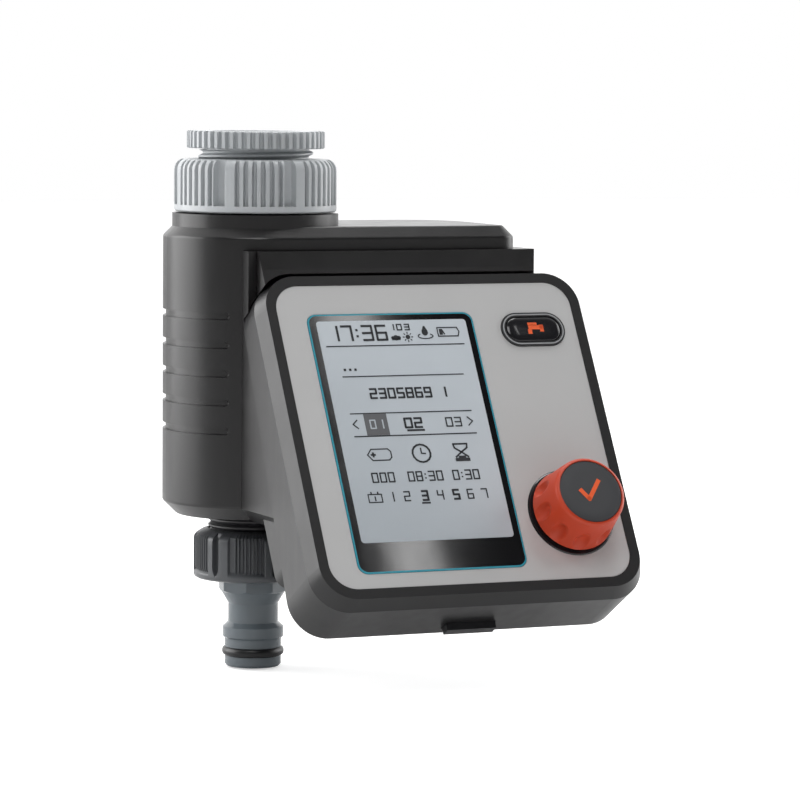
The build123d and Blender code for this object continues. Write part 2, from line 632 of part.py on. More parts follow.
with BuildPart() as front_frame:
    rim = unit_outline(panel(0.2), 0, flared=False)
    belly = unit_outline(panel(-FLARE_DEPTH))
    loft(sections=[rim.face(), belly.face()], ruled=True)
    extrude(belly, amount=-26)
    add(keep_before(rear_plane()), mode=Mode.INTERSECT)
    with BuildSketch(panel(FRAME_BACK)):
        add(unit_outline(Plane.XY, -UNIT_WALL - 0.6))
    extrude(amount=-2.5, mode=Mode.SUBTRACT)
    with BuildSketch(panel(FRAME_BACK - 2.4)):
        add(unit_outline(Plane.XY, -UNIT_WALL))
    extrude(amount=-30, mode=Mode.SUBTRACT)
    # pillars for the cover screws
    with BuildSketch(rear_plane(-COVER_T)):
        with Locations(*pillar_screws(rear_plane())):
            Circle(2.6)
    extrude(amount=30)
    add(keep_behind(panel(0.2)), mode=Mode.INTERSECT)
    with BuildSketch(rear_plane(-COVER_T)):
        with Locations(*pillar_screws(rear_plane())):
            Circle(COVER_SCREW_R + 0.05)
    extrude(amount=7, mode=Mode.SUBTRACT)
    # seat of the fascia, of the window and of the knob ring
    with BuildSketch(panel(PANEL_WALL)):
        RectangleRounded(FASCIA_W + 2 * FIT, FASCIA_H + 2 * FIT, FASCIA_R + FIT)
    extrude(amount=30, mode=Mode.SUBTRACT)
    with BuildSketch(panel(0.15 - WINDOW_T)):
        with Locations((WINDOW_U, WINDOW_V)):
            RectangleRounded(WINDOW_W + 2 * FIT, WINDOW_H + 2 * FIT, WINDOW_R)
    extrude(amount=5, mode=Mode.SUBTRACT)
    with BuildSketch(panel(FRAME_BACK)):
        with Locations((WINDOW_U, WINDOW_V)):
            RectangleRounded(WINDOW_W - 1.2, WINDOW_H - 1.2, WINDOW_R - 1)
        with Locations((BUTTON_U, BUTTON_V)):
            SlotOverall(BEZEL_W + 2 * FIT, BEZEL_H + 2 * FIT)
        with Locations((KNOB_U, KNOB_V)):
            Circle(BUSH_R + FREE)
    extrude(amount=5, mode=Mode.SUBTRACT)
    # slot for the release latch in the lower wall
    with BuildSketch(panel(LATCH_FRONT + FREE)):
        with Locations((LATCH_U, -FASCIA_H / 2 - 3.75)):
            Rectangle(LATCH_W + 2 * FREE, 8)
    extrude(amount=-LATCH_T - 2 * FREE, mode=Mode.SUBTRACT)
save(front_frame.part, "front_frame")

with BuildPart() as rear_cover:
    with BuildSketch(panel(-60)):
        add(unit_outline(Plane.XY, -UNIT_WALL - FIT))
    extrude(amount=60)
    add(keep_before(rear_plane()), mode=Mode.INTERSECT)
    add(keep_behind(rear_plane(-COVER_T)), mode=Mode.INTERSECT)
    add(bay_block(0.0, 0.0) & keep_behind(rear_plane(-1)))
    add(bay_block(-BAY_WALL, 20.0), mode=Mode.SUBTRACT)
    with BuildSketch(rear_plane()):
        with Locations(*pillar_screws(rear_plane())):
            Circle(COVER_SCREW_R + 0.05)
    extrude(amount=COVER_T + 1, mode=Mode.SUBTRACT)
    with BuildSketch(rear_plane()):
        with Locations(*pillar_screws(rear_plane())):
            Circle(COVER_HEAD_R + FIT)
        with Locations(*PIN_PLACES):
            Circle(PAD_R + 0.05)
    extrude(amount=1.5, mode=Mode.SUBTRACT)
    # stop for the latch spring
    with BuildSketch(rear_plane(-COVER_T + 0.2)):
        with Locations((LATCH_U, STOP_V)):
            Rectangle(8, 2.0)
    extrude(amount=3.6)
save(rear_cover.part, "rear_cover")

with BuildPart() as unit_gasket:
    with BuildSketch(rear_plane(-COVER_T)):
        with Locations((0, (unit_outline(Plane.XY).center().Y))):
            RectangleRounded(FASCIA_W + 2 * RIM - 1.6, FASCIA_H + 2 * RIM - 2.6, 8)
            RectangleRounded(FASCIA_W + 2 * RIM - 4.4, FASCIA_H + 2 * RIM - 5.4, 6.6, mode=Mode.SUBTRACT)
        with Locations(*pillar_screws(rear_plane())):
            Circle(2.9, mode=Mode.SUBTRACT)
        with Locations((LATCH_U, -52)):
            Rectangle(LATCH_W + 6, 12, mode=Mode.SUBTRACT)
    extrude(amount=1.2)
save(unit_gasket.part, "unit_gasket")

with BuildPart() as cover_screws:
    with BuildSketch(rear_plane(-0.1)):
        with Locations(*pillar_screws(rear_plane())):
            Circle(COVER_HEAD_R)
    extrude(amount=1.4)
    with BuildSketch(rear_plane(-1.5)):
        with Locations(*pillar_screws(rear_plane())):
            Circle(COVER_SCREW_R)
    extrude(amount=7)
save(cover_screws.part, "cover_screws")

with BuildPart() as contact_pads:
    with BuildSketch(rear_plane(-0.2)):
        with Locations(*PIN_PLACES):
            Circle(PAD_R)
    extrude(amount=1.2)
save(contact_pads.part, "contact_pads")


# ---------------------------------------------------------------- control unit, front
with BuildPart() as fascia_plate:
    with BuildSketch(panel(-FASCIA_T)):
        RectangleRounded(FASCIA_W, FASCIA_H, FASCIA_R)
        with Locations((WINDOW_U, WINDOW_V)):
            RectangleRounded(WINDOW_W + 2 * FIT, WINDOW_H + 2 * FIT, WINDOW_R, mode=Mode.SUBTRACT)
        with Locations((BUTTON_U, BUTTON_V)):
            SlotOverall(BEZEL_W + 2 * FIT, BEZEL_H + 2 * FIT, mode=Mode.SUBTRACT)
        with Locations((KNOB_U, KNOB_V)):
            Circle(RING_R + FIT, mode=Mode.SUBTRACT)
    extrude(amount=FASCIA_T)
save(fascia_plate.part, "fascia_plate")

with BuildPart() as display_window:
    with BuildSketch(panel(0.15 - WINDOW_T)):
        with Locations((WINDOW_U, WINDOW_V)):
            RectangleRounded(WINDOW_W, WINDOW_H, WINDOW_R - FIT)
    extrude(amount=WINDOW_T)
save(display_window.part, "display_window")

LCD_FRONT = -WINDOW_T
with BuildPart() as lcd_panel:
    with BuildSketch(panel(LCD_FRONT)):
        with Locations((WINDOW_U, LCD_V)):
            Rectangle(LCD_W + 0.6, LCD_H + 0.6)
    extrude(amount=-1.8)
save(lcd_panel.part, "lcd_panel")

with BuildPart() as lcd_holder:
    holder_front = LCD_FRONT - 1.9
    with BuildSketch(panel(BOARD_W + BOARD_T)):
        with Locations((WINDOW_U, LCD_V)):
            Rectangle(LCD_W + 5, LCD_H + 5)
    extrude(amount=holder_front - BOARD_W - BOARD_T)
    with BuildSketch(panel(BOARD_W + BOARD_T)):
        with Locations((WINDOW_U, LCD_V)):
            Rectangle(LCD_W + 1.4, LCD_H + 1.4)
    extrude(amount=holder_front - BOARD_W - BOARD_T - 1.2, mode=Mode.SUBTRACT)
save(lcd_holder.part, "lcd_holder")

with BuildPart() as main_board:
    with BuildSketch(panel(BOARD_W)):
        Rectangle(2 * COVER_SCREW_U, 2 * COVER_SCREW_V)
        with Locations(*pillar_screws(rear_plane())):
            Circle(5.0, mode=Mode.SUBTRACT)
    extrude(amount=BOARD_T)
save(main_board.part, "main_board")

BOARD_FRONT = BOARD_W + BOARD_T
with BuildPart() as tact_switch:
    with BuildSketch(panel(BOARD_FRONT)):
        with Locations((BUTTON_U, BUTTON_V)):
            Rectangle(6, 6)
    extrude(amount=2.4)
    with BuildSketch(panel(BOARD_FRONT + 2.4)):
        with Locations((BUTTON_U, BUTTON_V)):
            Circle(1.7)
    extrude(amount=1.0)
save(tact_switch.part, "tact_switch")

with BuildPart() as button_bezel:
    with BuildSketch(panel(FRAME_BACK + 0.1)):
        with Locations((BUTTON_U, BUTTON_V)):
            SlotOverall(BEZEL_W, BEZEL_H)
            SlotOverall(BUTTON_W + 2 * 0.15, BUTTON_H + 2 * 0.15, mode=Mode.SUBTRACT)
    extrude(amount=0.5 - FRAME_BACK - 0.1)
save(button_bezel.part, "button_bezel")

with BuildPart() as manual_button:
    with BuildSketch(panel(FRAME_BACK - 1.0)):
        with Locations((BUTTON_U, BUTTON_V)):
            SlotOverall(BEZEL_W - 0.6, BEZEL_H - 0.6)
    extrude(amount=0.8)
    with BuildSketch(panel(FRAME_BACK - 0.2)):
        with Locations((BUTTON_U, BUTTON_V)):
            SlotOverall(BUTTON_W, BUTTON_H)
    extrude(amount=1.3 - FRAME_BACK - 0.2)
    chamfer(manual_button.faces().sort_by(Axis((0, 0, 0), NORMAL))[-1].edges(), length=0.5)
    with BuildSketch(panel(FRAME_BACK - 1.4)):
        with Locations((BUTTON_U, BUTTON_V)):
            Circle(1.6)
    extrude(amount=0.4)
save(manual_button.part, "manual_button")

KNOB_LOW = RING_TOP + KNOB_TRAVEL + 0.2


def knob_revolved(points):
    """Solid of revolution round the knob's axis from (radius, height) points."""
    with BuildPart() as made:
        with BuildSketch(Plane.XZ):
            with BuildLine():
                Polyline(points, close=True)
            make_face()
        revolve(axis=Axis.Z)
    return made.part.moved(panel(0, KNOB_U, KNOB_V).location)


with BuildPart() as knob_ring:
    bottom = PANEL_WALL
    add(knob_revolved([(BUSH_R + FREE, bottom), (RING_R, bottom), (RING_R, RING_TOP - 0.2),
                       (RING_R - 0.3, RING_TOP), (BUSH_R + FREE, RING_TOP)]))
save(knob_ring.part, "knob_ring")

with BuildPart() as encoder_body:
    with BuildSketch(panel(BOARD_FRONT)):
        with Locations((KNOB_U, KNOB_V)):
            Rectangle(12.4, 13.2)
    extrude(amount=4.6)
    with BuildSketch(panel(BOARD_FRONT + 4.6)):
        with Locations((KNOB_U, KNOB_V)):
            Circle(BUSH_R)
    extrude(amount=-0.2 - BOARD_FRONT - 4.6)
    with BuildSketch(panel(BOARD_FRONT + 1.0)):
        with Locations((KNOB_U, KNOB_V)):
            Circle(ROTOR_R + FREE)
    extrude(amount=2.6, mode=Mode.SUBTRACT)
    with BuildSketch(panel(BOARD_FRONT + 1.0)):
        with Locations((KNOB_U, KNOB_V)):
            Circle(SHAFT_R + FIT)
    extrude(amount=20, mode=Mode.SUBTRACT)
save(encoder_body.part, "encoder_body")

with BuildPart() as encoder_rotor:
    with BuildSketch(panel(BOARD_FRONT + 1.3)):
        with Locations((KNOB_U, KNOB_V)):
            Circle(ROTOR_R)
            Circle(SHAFT_R + FIT, mode=Mode.SUBTRACT)
    extrude(amount=2.0)
save(encoder_rotor.part, "encoder_rotor")

with BuildPart() as encoder_shaft:
    with BuildSketch(panel(BOARD_FRONT + 1.2 + KNOB_TRAVEL + 0.2)):
        with Locations((KNOB_U, KNOB_V)):
            Circle(SHAFT_R)
    extrude(amount=9.0 - BOARD_FRONT - 1.2 - KNOB_TRAVEL - 0.2)
save(encoder_shaft.part, "encoder_shaft")

with BuildPart() as knob:
    top = KNOB_LOW + KNOB_H
    profile = [(KNOB_BASE_R - 0.8, KNOB_LOW), (KNOB_BASE_R, KNOB_LOW + 0.8), (KNOB_BASE_R - 0.1, KNOB_LOW + 2)]
    profile += [(KNOB_TOP_R, top - 1.4), (KNOB_TOP_R - 0.4, top - 0.4), (KNOB_DISC_R + 0.3, top)]
    profile += [(KNOB_DISC_R + FIT, top - 0.2), (KNOB_DISC_R + FIT, top - 1.5), (0, top - 1.5), (0, 9.1)]
    profile += [(SHAFT_R + 0.03, 9.1), (SHAFT_R + 0.03, KNOB_LOW + 1.6), (KNOB_BASE_R - 3.4, KNOB_LOW + 1.6)]
    profile += [(KNOB_BASE_R - 3.0, KNOB_LOW)]
    add(knob_revolved(profile))
    for grip in range(KNOB_GRIPS):
        turn = radians(360 / KNOB_GRIPS * grip)
        reach = KNOB_BASE_R + 1.5
        spot = panel(KNOB_LOW + 4.6, KNOB_U + reach * cos(turn), KNOB_V + reach * sin(turn))
        with Locations(spot.location):
            Sphere(3.0, mode=Mode.SUBTRACT)
save(knob.part, "knob")

with BuildPart() as knob_disc:
    top = KNOB_LOW + KNOB_H
    add(knob_revolved([(0, top - 1.5), (KNOB_DISC_R, top - 1.5), (KNOB_DISC_R, top - 0.4),
                       (KNOB_DISC_R - 0.3, top - 0.1), (0, top - 0.1)]))
save(knob_disc.part, "knob_disc")


# ---------------------------------------------------------------- battery and latch
BAY_INNER_REAR = BAY_REAR + BAY_WALL
BATTERY_LEFT = BAY_LEFT + BAY_WALL + 0.2
BATTERY_TOP_V = BAY_TOP_V - BAY_WALL - 0.4
with BuildPart() as battery:
    with BuildSketch(panel(BAY_INNER_REAR + 0.2)):
        with Locations((BATTERY_LEFT + BATTERY_L / 2, BATTERY_TOP_V - BATTERY_B / 2)):
            RectangleRounded(BATTERY_L, BATTERY_B, BAY_R - BAY_WALL)
    extrude(amount=BATTERY_T)
    terminal = Plane(origin=panel(BAY_INNER_REAR + 0.2 + BATTERY_T / 2, BATTERY_LEFT + BATTERY_L,
                                  BATTERY_TOP_V - BATTERY_B / 2).origin, x_dir=NORMAL, z_dir=(1, 0, 0))
    with BuildSketch(terminal):
        with Locations((0, 6.3), (0, -6.3)):
            Circle(2.9)
    extrude(amount=1.0)
save(battery.part, "battery")

with BuildPart() as battery_contacts:
    with BuildSketch(terminal.offset(1.1)):
        Rectangle(BATTERY_T - 2, BATTERY_B - 4)
    extrude(amount=0.5)
save(battery_contacts.part, "battery_contacts")

with BuildPart() as release_latch:
    bottom_v = -FASCIA_H / 2 - RIM - FLARE
    with BuildSketch(panel(LATCH_FRONT)):
        with Locations((LATCH_U, bottom_v)):
            Rectangle(LATCH_W, 2 * LATCH_OUT)
        with Locations((LATCH_U, bottom_v + LATCH_OUT + 0.3)):
            Rectangle(LATCH_W, 2)
        with Locations((LATCH_U, bottom_v + UNIT_WALL + 1.1)):
            Rectangle(LATCH_W + 3, 1.6)
    extrude(amount=-LATCH_T)
    # peg that runs inside the spring
    peg_plane = Plane(origin=panel(LATCH_FRONT - LATCH_T / 2, LATCH_U, bottom_v + UNIT_WALL + 1.5).origin,
                      x_dir=(1, 0, 0), z_dir=UP_PANEL)
    with BuildSketch(peg_plane):
        Circle(SPRING_R - 0.6)
    extrude(amount=3.4)
save(release_latch.part, "release_latch")

with BuildPart() as latch_spring:
    spring_low = bottom_v + UNIT_WALL + 1.9 + LATCH_TRAVEL + 0.2
    spring_plane = Plane(origin=panel(LATCH_FRONT - LATCH_T / 2, LATCH_U, spring_low).origin,
                         x_dir=(1, 0, 0), z_dir=UP_PANEL)
    with BuildSketch(spring_plane):
        Circle(SPRING_R)
        Circle(SPRING_R - 0.5, mode=Mode.SUBTRACT)
    extrude(amount=STOP_V - 1.9 - spring_low - 0.4)
save(latch_spring.part, "latch_spring")
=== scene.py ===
import json
from math import atan2, cos, degrees, hypot, pi, radians, sin

import bmesh
import bpy
from mathutils import Matrix, Vector


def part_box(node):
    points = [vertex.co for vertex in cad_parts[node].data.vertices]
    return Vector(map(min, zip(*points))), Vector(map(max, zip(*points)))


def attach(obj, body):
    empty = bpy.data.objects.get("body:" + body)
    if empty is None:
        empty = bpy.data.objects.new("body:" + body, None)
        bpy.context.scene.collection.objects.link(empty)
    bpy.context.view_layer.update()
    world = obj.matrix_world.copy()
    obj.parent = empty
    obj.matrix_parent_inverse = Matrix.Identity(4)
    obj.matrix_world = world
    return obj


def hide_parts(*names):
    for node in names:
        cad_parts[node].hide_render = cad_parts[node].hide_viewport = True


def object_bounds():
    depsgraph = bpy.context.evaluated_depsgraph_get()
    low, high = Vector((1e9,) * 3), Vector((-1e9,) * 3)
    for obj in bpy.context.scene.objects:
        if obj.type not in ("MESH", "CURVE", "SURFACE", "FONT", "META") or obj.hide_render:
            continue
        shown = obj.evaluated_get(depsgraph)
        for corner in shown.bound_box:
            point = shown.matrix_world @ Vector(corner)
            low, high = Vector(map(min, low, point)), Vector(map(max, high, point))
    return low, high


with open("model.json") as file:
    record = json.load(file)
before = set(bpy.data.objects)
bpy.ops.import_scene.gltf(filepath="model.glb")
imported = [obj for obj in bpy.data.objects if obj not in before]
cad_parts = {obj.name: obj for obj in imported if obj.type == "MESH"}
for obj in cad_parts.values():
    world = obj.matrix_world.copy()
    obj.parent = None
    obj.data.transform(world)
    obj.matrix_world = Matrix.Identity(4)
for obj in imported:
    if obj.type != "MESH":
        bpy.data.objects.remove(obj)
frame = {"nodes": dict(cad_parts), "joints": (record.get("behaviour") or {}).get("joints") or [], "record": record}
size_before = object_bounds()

# Lengths are millimetres, and each piece is scaled to metres when it is finished.
MM = 0.001
NODES = frame["nodes"]
JOINTS = {joint["name"]: joint for joint in frame["joints"]}
IDENTITY = Matrix.Identity(4)


# ---------------------------------------------------------------- places taken from the frame
def low(node):
    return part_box(node)[0] / MM


def high(node):
    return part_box(node)[1] / MM


OUT = Vector(JOINTS["unit_removal"]["axis"]).normalized()
RIGHT = Vector((1, 0, 0))
UP = OUT.cross(RIGHT)
PLATE_T = 0.8      # thickness of the fascia plate
CENTRE = (low("fascia_plate") + high("fascia_plate")) / 2 + OUT * PLATE_T / 2
PANEL = Matrix((RIGHT, UP, OUT)).transposed().to_4x4()
PANEL.translation = CENTRE


def on_panel(point):
    """u, v and w of a point, across, up and out of the panel."""
    away = point - CENTRE
    return away.dot(RIGHT), away.dot(UP), away.dot(OUT)


def panel_span(node):
    """Lowest and highest u, v and w of a CAD node."""
    places = [on_panel(v.co / MM) for v in NODES[node].data.vertices]
    return [(min(p[k] for p in places), max(p[k] for p in places)) for k in range(3)]


# ---------------------------------------------------------------- shaders
def shader_group(name, inputs, outputs):
    """Empty node group with float inputs (name, value) and outputs."""
    tree = bpy.data.node_groups.new(name, "ShaderNodeTree")
    for label, value in inputs:
        socket = tree.interface.new_socket(label, in_out="INPUT", socket_type="NodeSocketFloat")
        socket.default_value = value
    for label in outputs:
        tree.interface.new_socket(label, in_out="OUTPUT", socket_type="NodeSocketFloat")
    return tree, tree.nodes.new("NodeGroupInput"), tree.nodes.new("NodeGroupOutput")


def math_node(tree, operation, first, second):
    node = tree.nodes.new("ShaderNodeMath")
    node.operation = operation
    for socket, value in zip(node.inputs, (first, second)):
        if isinstance(value, (int, float)):
            socket.default_value = value
        else:
            tree.links.new(value, socket)
    return node.outputs[0]


def noise(tree, scale, detail=2.0, stretch=None):
    """Noise over Object coordinates. Stretch scales the three axes before it."""
    coordinates = tree.nodes.new("ShaderNodeTexCoord").outputs["Object"]
    if stretch:
        mapping = tree.nodes.new("ShaderNodeMapping")
        mapping.inputs["Scale"].default_value = stretch
        tree.links.new(coordinates, mapping.inputs["Vector"])
        coordinates = mapping.outputs["Vector"]
    texture = tree.nodes.new("ShaderNodeTexNoise")
    texture.inputs["Detail"].default_value = detail
    tree.links.new(coordinates, texture.inputs["Vector"])
    if isinstance(scale, (int, float)):
        texture.inputs["Scale"].default_value = scale
    else:
        tree.links.new(scale, texture.inputs["Scale"])
    return texture.outputs["Fac"]


def make_grain():
    """Fine texture of a moulding tool: the height of its grain, and a slow change of shade."""
    tree, given, result = shader_group("moulding_grain", [("Grain Scale", 3000.0)], ("Height", "Shade"))
    fine = noise(tree, given.outputs["Grain Scale"], 3.0)
    tree.links.new(fine, result.inputs["Height"])
    tree.links.new(noise(tree, 60.0, 3.0), result.inputs["Shade"])
    return tree


def make_handling():
    """Faint marks of hands and storage: slow smudges with thin scuffs across them."""
    tree, given, result = shader_group("handling_marks", [("Amount", 0.1), ("Base", 0.5)], ("Roughness",))
    smudge = noise(tree, 90.0, 4.0)
    scuff = noise(tree, 260.0, 2.0, (1.0, 1.0, 0.15))
    both = math_node(tree, "ADD", smudge, scuff)
    centred = math_node(tree, "SUBTRACT", both, 1.0)
    spread = math_node(tree, "MULTIPLY", centred, given.outputs["Amount"])
    total = math_node(tree, "ADD", spread, given.outputs["Base"])
    tree.links.new(total, result.inputs["Roughness"])
    return tree


GRAIN = make_grain()
HANDLING = make_handling()


def finish(name, colour, roughness, shade=0.06, grain=3000.0, depth=0.02, marks=0.12, **constants):
    """Opaque finish: two near shades of one colour, uneven gloss and a fine grain."""
    made = bpy.data.materials.new(name)
    made.use_nodes = True
    tree = made.node_tree
    shader = tree.nodes["Principled BSDF"]
    for socket, value in constants.items():
        shader.inputs[socket.replace("_", " ")].default_value = value
    grain_node = tree.nodes.new("ShaderNodeGroup")
    grain_node.node_tree = GRAIN
    grain_node.inputs["Grain Scale"].default_value = grain
    mix = tree.nodes.new("ShaderNodeMix")
    mix.data_type = "RGBA"
    mix.inputs[6].default_value = (*[c * (1 - shade) for c in colour], 1)
    mix.inputs[7].default_value = (*[min(1, c * (1 + shade)) for c in colour], 1)
    tree.links.new(grain_node.outputs["Shade"], mix.inputs[0])
    tree.links.new(mix.outputs[2], shader.inputs["Base Color"])
    marks_node = tree.nodes.new("ShaderNodeGroup")
    marks_node.node_tree = HANDLING
    marks_node.inputs["Amount"].default_value = marks
    marks_node.inputs["Base"].default_value = roughness
    tree.links.new(marks_node.outputs["Roughness"], shader.inputs["Roughness"])
    bump = tree.nodes.new("ShaderNodeBump")
    bump.inputs["Strength"].default_value = 0.6
    bump.inputs["Distance"].default_value = depth * MM
    tree.links.new(grain_node.outputs["Height"], bump.inputs["Height"])
    tree.links.new(bump.outputs["Normal"], shader.inputs["Normal"])
    return made


HOUSING = finish("anthracite_moulding", (0.0060, 0.0055, 0.0060), 0.33, depth=0.03)
UNIT = finish("unit_moulding", (0.0120, 0.0117, 0.0125), 0.34, depth=0.02)
LIGHT_GREY = finish("light_grey_moulding", (0.42, 0.44, 0.455), 0.34, grain=1800.0, depth=0.015)
MID_GREY = finish("mid_grey_moulding", (0.068, 0.072, 0.078), 0.36, grain=1800.0, depth=0.015)
NIPPLE = finish("nipple_moulding", (0.115, 0.135, 0.150), 0.20, grain=900.0, depth=0.008, marks=0.08)
RUBBER = finish("black_rubber", (0.004, 0.004, 0.005), 0.38, grain=2200.0, depth=0.02)
METAL = finish("silver_plate", (0.56, 0.56, 0.56), 0.40, shade=0.03, grain=5200.0, depth=0.006, marks=0.05,
               Metallic=0.25)
BORDER = finish("window_print", (0.003, 0.003, 0.004), 0.07, grain=500.0, depth=0.001, marks=0.03)
OUTLINE = finish("window_outline", (0.02, 0.27, 0.36), 0.25, grain=900.0, depth=0.002)
LCD = finish("lcd_film", (0.46, 0.505, 0.545), 0.5, shade=0.05, grain=9000.0, depth=0.002, marks=0.03,
             Coat_Weight=0.8, Coat_Roughness=0.38)
MARKS = finish("lcd_marks", (0.018, 0.020, 0.024), 0.5, shade=0.1, grain=9000.0, depth=0.001, marks=0.03)
TAB = finish("lcd_tab", (0.115, 0.118, 0.125), 0.5, shade=0.1, grain=9000.0, depth=0.001, marks=0.03)
ORANGE = finish("orange_moulding", (0.50, 0.036, 0.003), 0.46, shade=0.05, grain=2200.0, depth=0.012)
ORANGE_PRINT = finish("orange_print", (0.85, 0.12, 0.03), 0.35, grain=4000.0, depth=0.004)
GLOSS = finish("black_gloss", (0.012, 0.012, 0.014), 0.14, grain=900.0, depth=0.003, marks=0.05)
DISC = finish("knob_disc_moulding", (0.055, 0.056, 0.060), 0.34, depth=0.01)
DARK = finish("dark_grey_moulding", (0.020, 0.020, 0.022), 0.42, depth=0.02)
RING_GREY = finish("bezel_line", (0.33, 0.34, 0.35), 0.3, grain=2600.0, depth=0.006)
NATURAL = finish("natural_nylon", (0.62, 0.60, 0.54), 0.45)
BOARD = finish("board_mask", (0.02, 0.12, 0.05), 0.35, grain=1400.0)
STEEL = finish("steel", (0.50, 0.50, 0.51), 0.30, Metallic=1.0, grain=1600.0, depth=0.006)
BRASS = finish("brass", (0.72, 0.52, 0.22), 0.28, Metallic=1.0, grain=1600.0, depth=0.006)
WINDING = finish("winding_tape", (0.42, 0.20, 0.05), 0.40, grain=1200.0)
BATTERY = finish("battery_shell", (0.30, 0.31, 0.33), 0.30, Metallic=0.8, grain=1600.0, depth=0.005)
GASKET = finish("gasket", (0.05, 0.05, 0.055), 0.7, grain=2200.0)

SLOT_FINISH = {
    "housing_plastic": HOUSING,
    "frame_plastic": UNIT,
    "light_grey_plastic": LIGHT_GREY,
    "mid_grey_plastic": MID_GREY,
    "nipple_plastic": NIPPLE,
    "rubber_black": RUBBER,
    "fascia_metal": METAL,
    "window": BORDER,
    "lcd": LCD,
    "orange_plastic": ORANGE,
    "black_gloss": GLOSS,
    "dark_grey_plastic": DARK,
    "natural_plastic": NATURAL,
    "board": BOARD,
    "steel": STEEL,
    "brass": BRASS,
    "winding": WINDING,
    "battery_shell": BATTERY,
    "gasket": GASKET,
}
for subpart in frame["record"]["subparts"]:
    materials = NODES[subpart["node"]].data.materials
    materials.clear()
    materials.append(SLOT_FINISH[subpart["material_slot"]])


# ---------------------------------------------------------------- modelling helpers
def piece(bm, name, body, finishes, place=IDENTITY, sharp=32, replaces=()):
    """Turns a bmesh in millimetres into a finished piece of the object."""
    bmesh.ops.remove_doubles(bm, verts=bm.verts, dist=0.0005)
    bmesh.ops.recalc_face_normals(bm, faces=bm.faces)
    bmesh.ops.transform(bm, matrix=Matrix.Scale(MM, 4) @ place, verts=bm.verts)
    mesh = bpy.data.meshes.new(name)
    bm.to_mesh(mesh)
    bm.free()
    mesh.shade_smooth()
    mesh.set_sharp_from_angle(angle=radians(sharp))
    for finish_used in finishes:
        mesh.materials.append(finish_used)
    made = bpy.data.objects.new(name, mesh)
    bpy.context.scene.collection.objects.link(made)
    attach(made, body)
    if replaces:
        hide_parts(*replaces)
    return made


def lathe(bm, profile, steps):
    """Spins a closed profile of (radius, height) points about the z axis."""
    points = [bm.verts.new((r, 0, z)) for r, z in profile]
    edges = [bm.edges.new((a, b)) for a, b in zip(points, points[1:] + points[:1])]
    bmesh.ops.spin(bm, geom=points + edges, cent=(0, 0, 0), axis=(0, 0, 1), angle=2 * pi, steps=steps,
                   use_merge=True)


def rework(bm, radius_at):
    """Moves each vertex to the radius that radius_at gives for its radius, turn in degrees and height."""
    for v in bm.verts:
        r = hypot(v.co.x, v.co.y)
        if r < 0.01:
            continue
        wanted = radius_at(r, degrees(atan2(v.co.y, v.co.x)) % 360, v.co.z)
        v.co.x *= wanted / r
        v.co.y *= wanted / r


def ease(x):
    x = max(0.0, min(1.0, x))
    return x * x * (3 - 2 * x)


def heights(start, end, count):
    return [start + (end - start) * k / count for k in range(count + 1)]


def rounded_loop(bm, width, height, radius, w, centre=(0, 0), arc_steps=8):
    """Edge loop of a rounded rectangle, w out from the panel, as a list of vertices in order."""
    loop = []
    for corner, (side_u, side_v) in enumerate(((1, 1), (-1, 1), (-1, -1), (1, -1))):
        for k in range(arc_steps + 1):
            turn = pi / 2 * (corner + k / arc_steps)
            u = centre[0] + side_u * (width / 2 - radius) + radius * cos(turn)
            v = centre[1] + side_v * (height / 2 - radius) + radius * sin(turn)
            loop.append(bm.verts.new((u, v, w)))
    for a, b in zip(loop, loop[1:] + loop[:1]):
        bm.edges.new((a, b))
    return loop


def skin(bm, loops, ring=False):
    """Joins loops that have the same number of vertices into one solid, each vertex to its own."""
    pairs = list(zip(loops, loops[1:]))
    if ring:
        pairs.append((loops[-1], loops[0]))
    for a, b in pairs:
        for k in range(len(a)):
            bm.faces.new((a[k - 1], a[k], b[k], b[k - 1]))
    if not ring:
        bm.faces.new(loops[0])
        bm.faces.new(loops[-1])


def plaque(bm, width, height, radius, low_w, high_w, centre=(0, 0), edge=0.3, arc_steps=8):
    """Solid rounded rectangle with a rounded upper edge."""
    steps = [(0, low_w), (0, high_w - edge), (0.3 * edge, high_w - 0.3 * edge), (edge, high_w)]
    loops = []
    for inset, w in steps:
        grow = -2 * inset
        loops.append(rounded_loop(bm, width + grow, height + grow, radius - inset, w, centre, arc_steps))
    skin(bm, loops)


# ---------------------------------------------------------------- fittings on the valve axis
AWAY_FROM_VIEW = -113.6      # turn, in degrees, of the side that faces the camera

ADAPTER_R = high("tap_adapter").x
ADAPTER_BOTTOM = low("tap_adapter").z
RIM_RIBS = 50
RIM_LOW = -5.0
RIB_DEPTH = 1.6
FIRST_GAP = 3.45             # turn of the first rim gap from the side that faces the camera
THREAD_R, THREAD_PITCH, THREAD_DEPTH = 16.6, 2.309, 1.3
THREAD_TOP, THREAD_END = RIM_LOW - 0.55, -9.6
SOCKET_R, SOCKET_FLOOR = 12.06, -12.2
WATERWAY_R = 9.0


def adapter_radius(r, turn, z):
    if r > ADAPTER_R - 1 and z > RIM_LOW - 0.1:
        part = ((turn - AWAY_FROM_VIEW - FIRST_GAP) * RIM_RIBS / 360) % 1
        middle = abs(part - 0.5)                    # 0 in the middle of a gap
        return r - RIB_DEPTH * (1 - ease((middle - 0.19) / 0.06))
    if r > THREAD_R - 1 and z < RIM_LOW - 0.5:
        along = ((z + 6.3) / THREAD_PITCH - (turn - AWAY_FROM_VIEW - 90) / 360) % 1
        crest = abs(along - 0.5) * 2                # 1 on the crest
        return r - THREAD_DEPTH * (1 - ease((crest - 0.15) / 0.7))
    return r


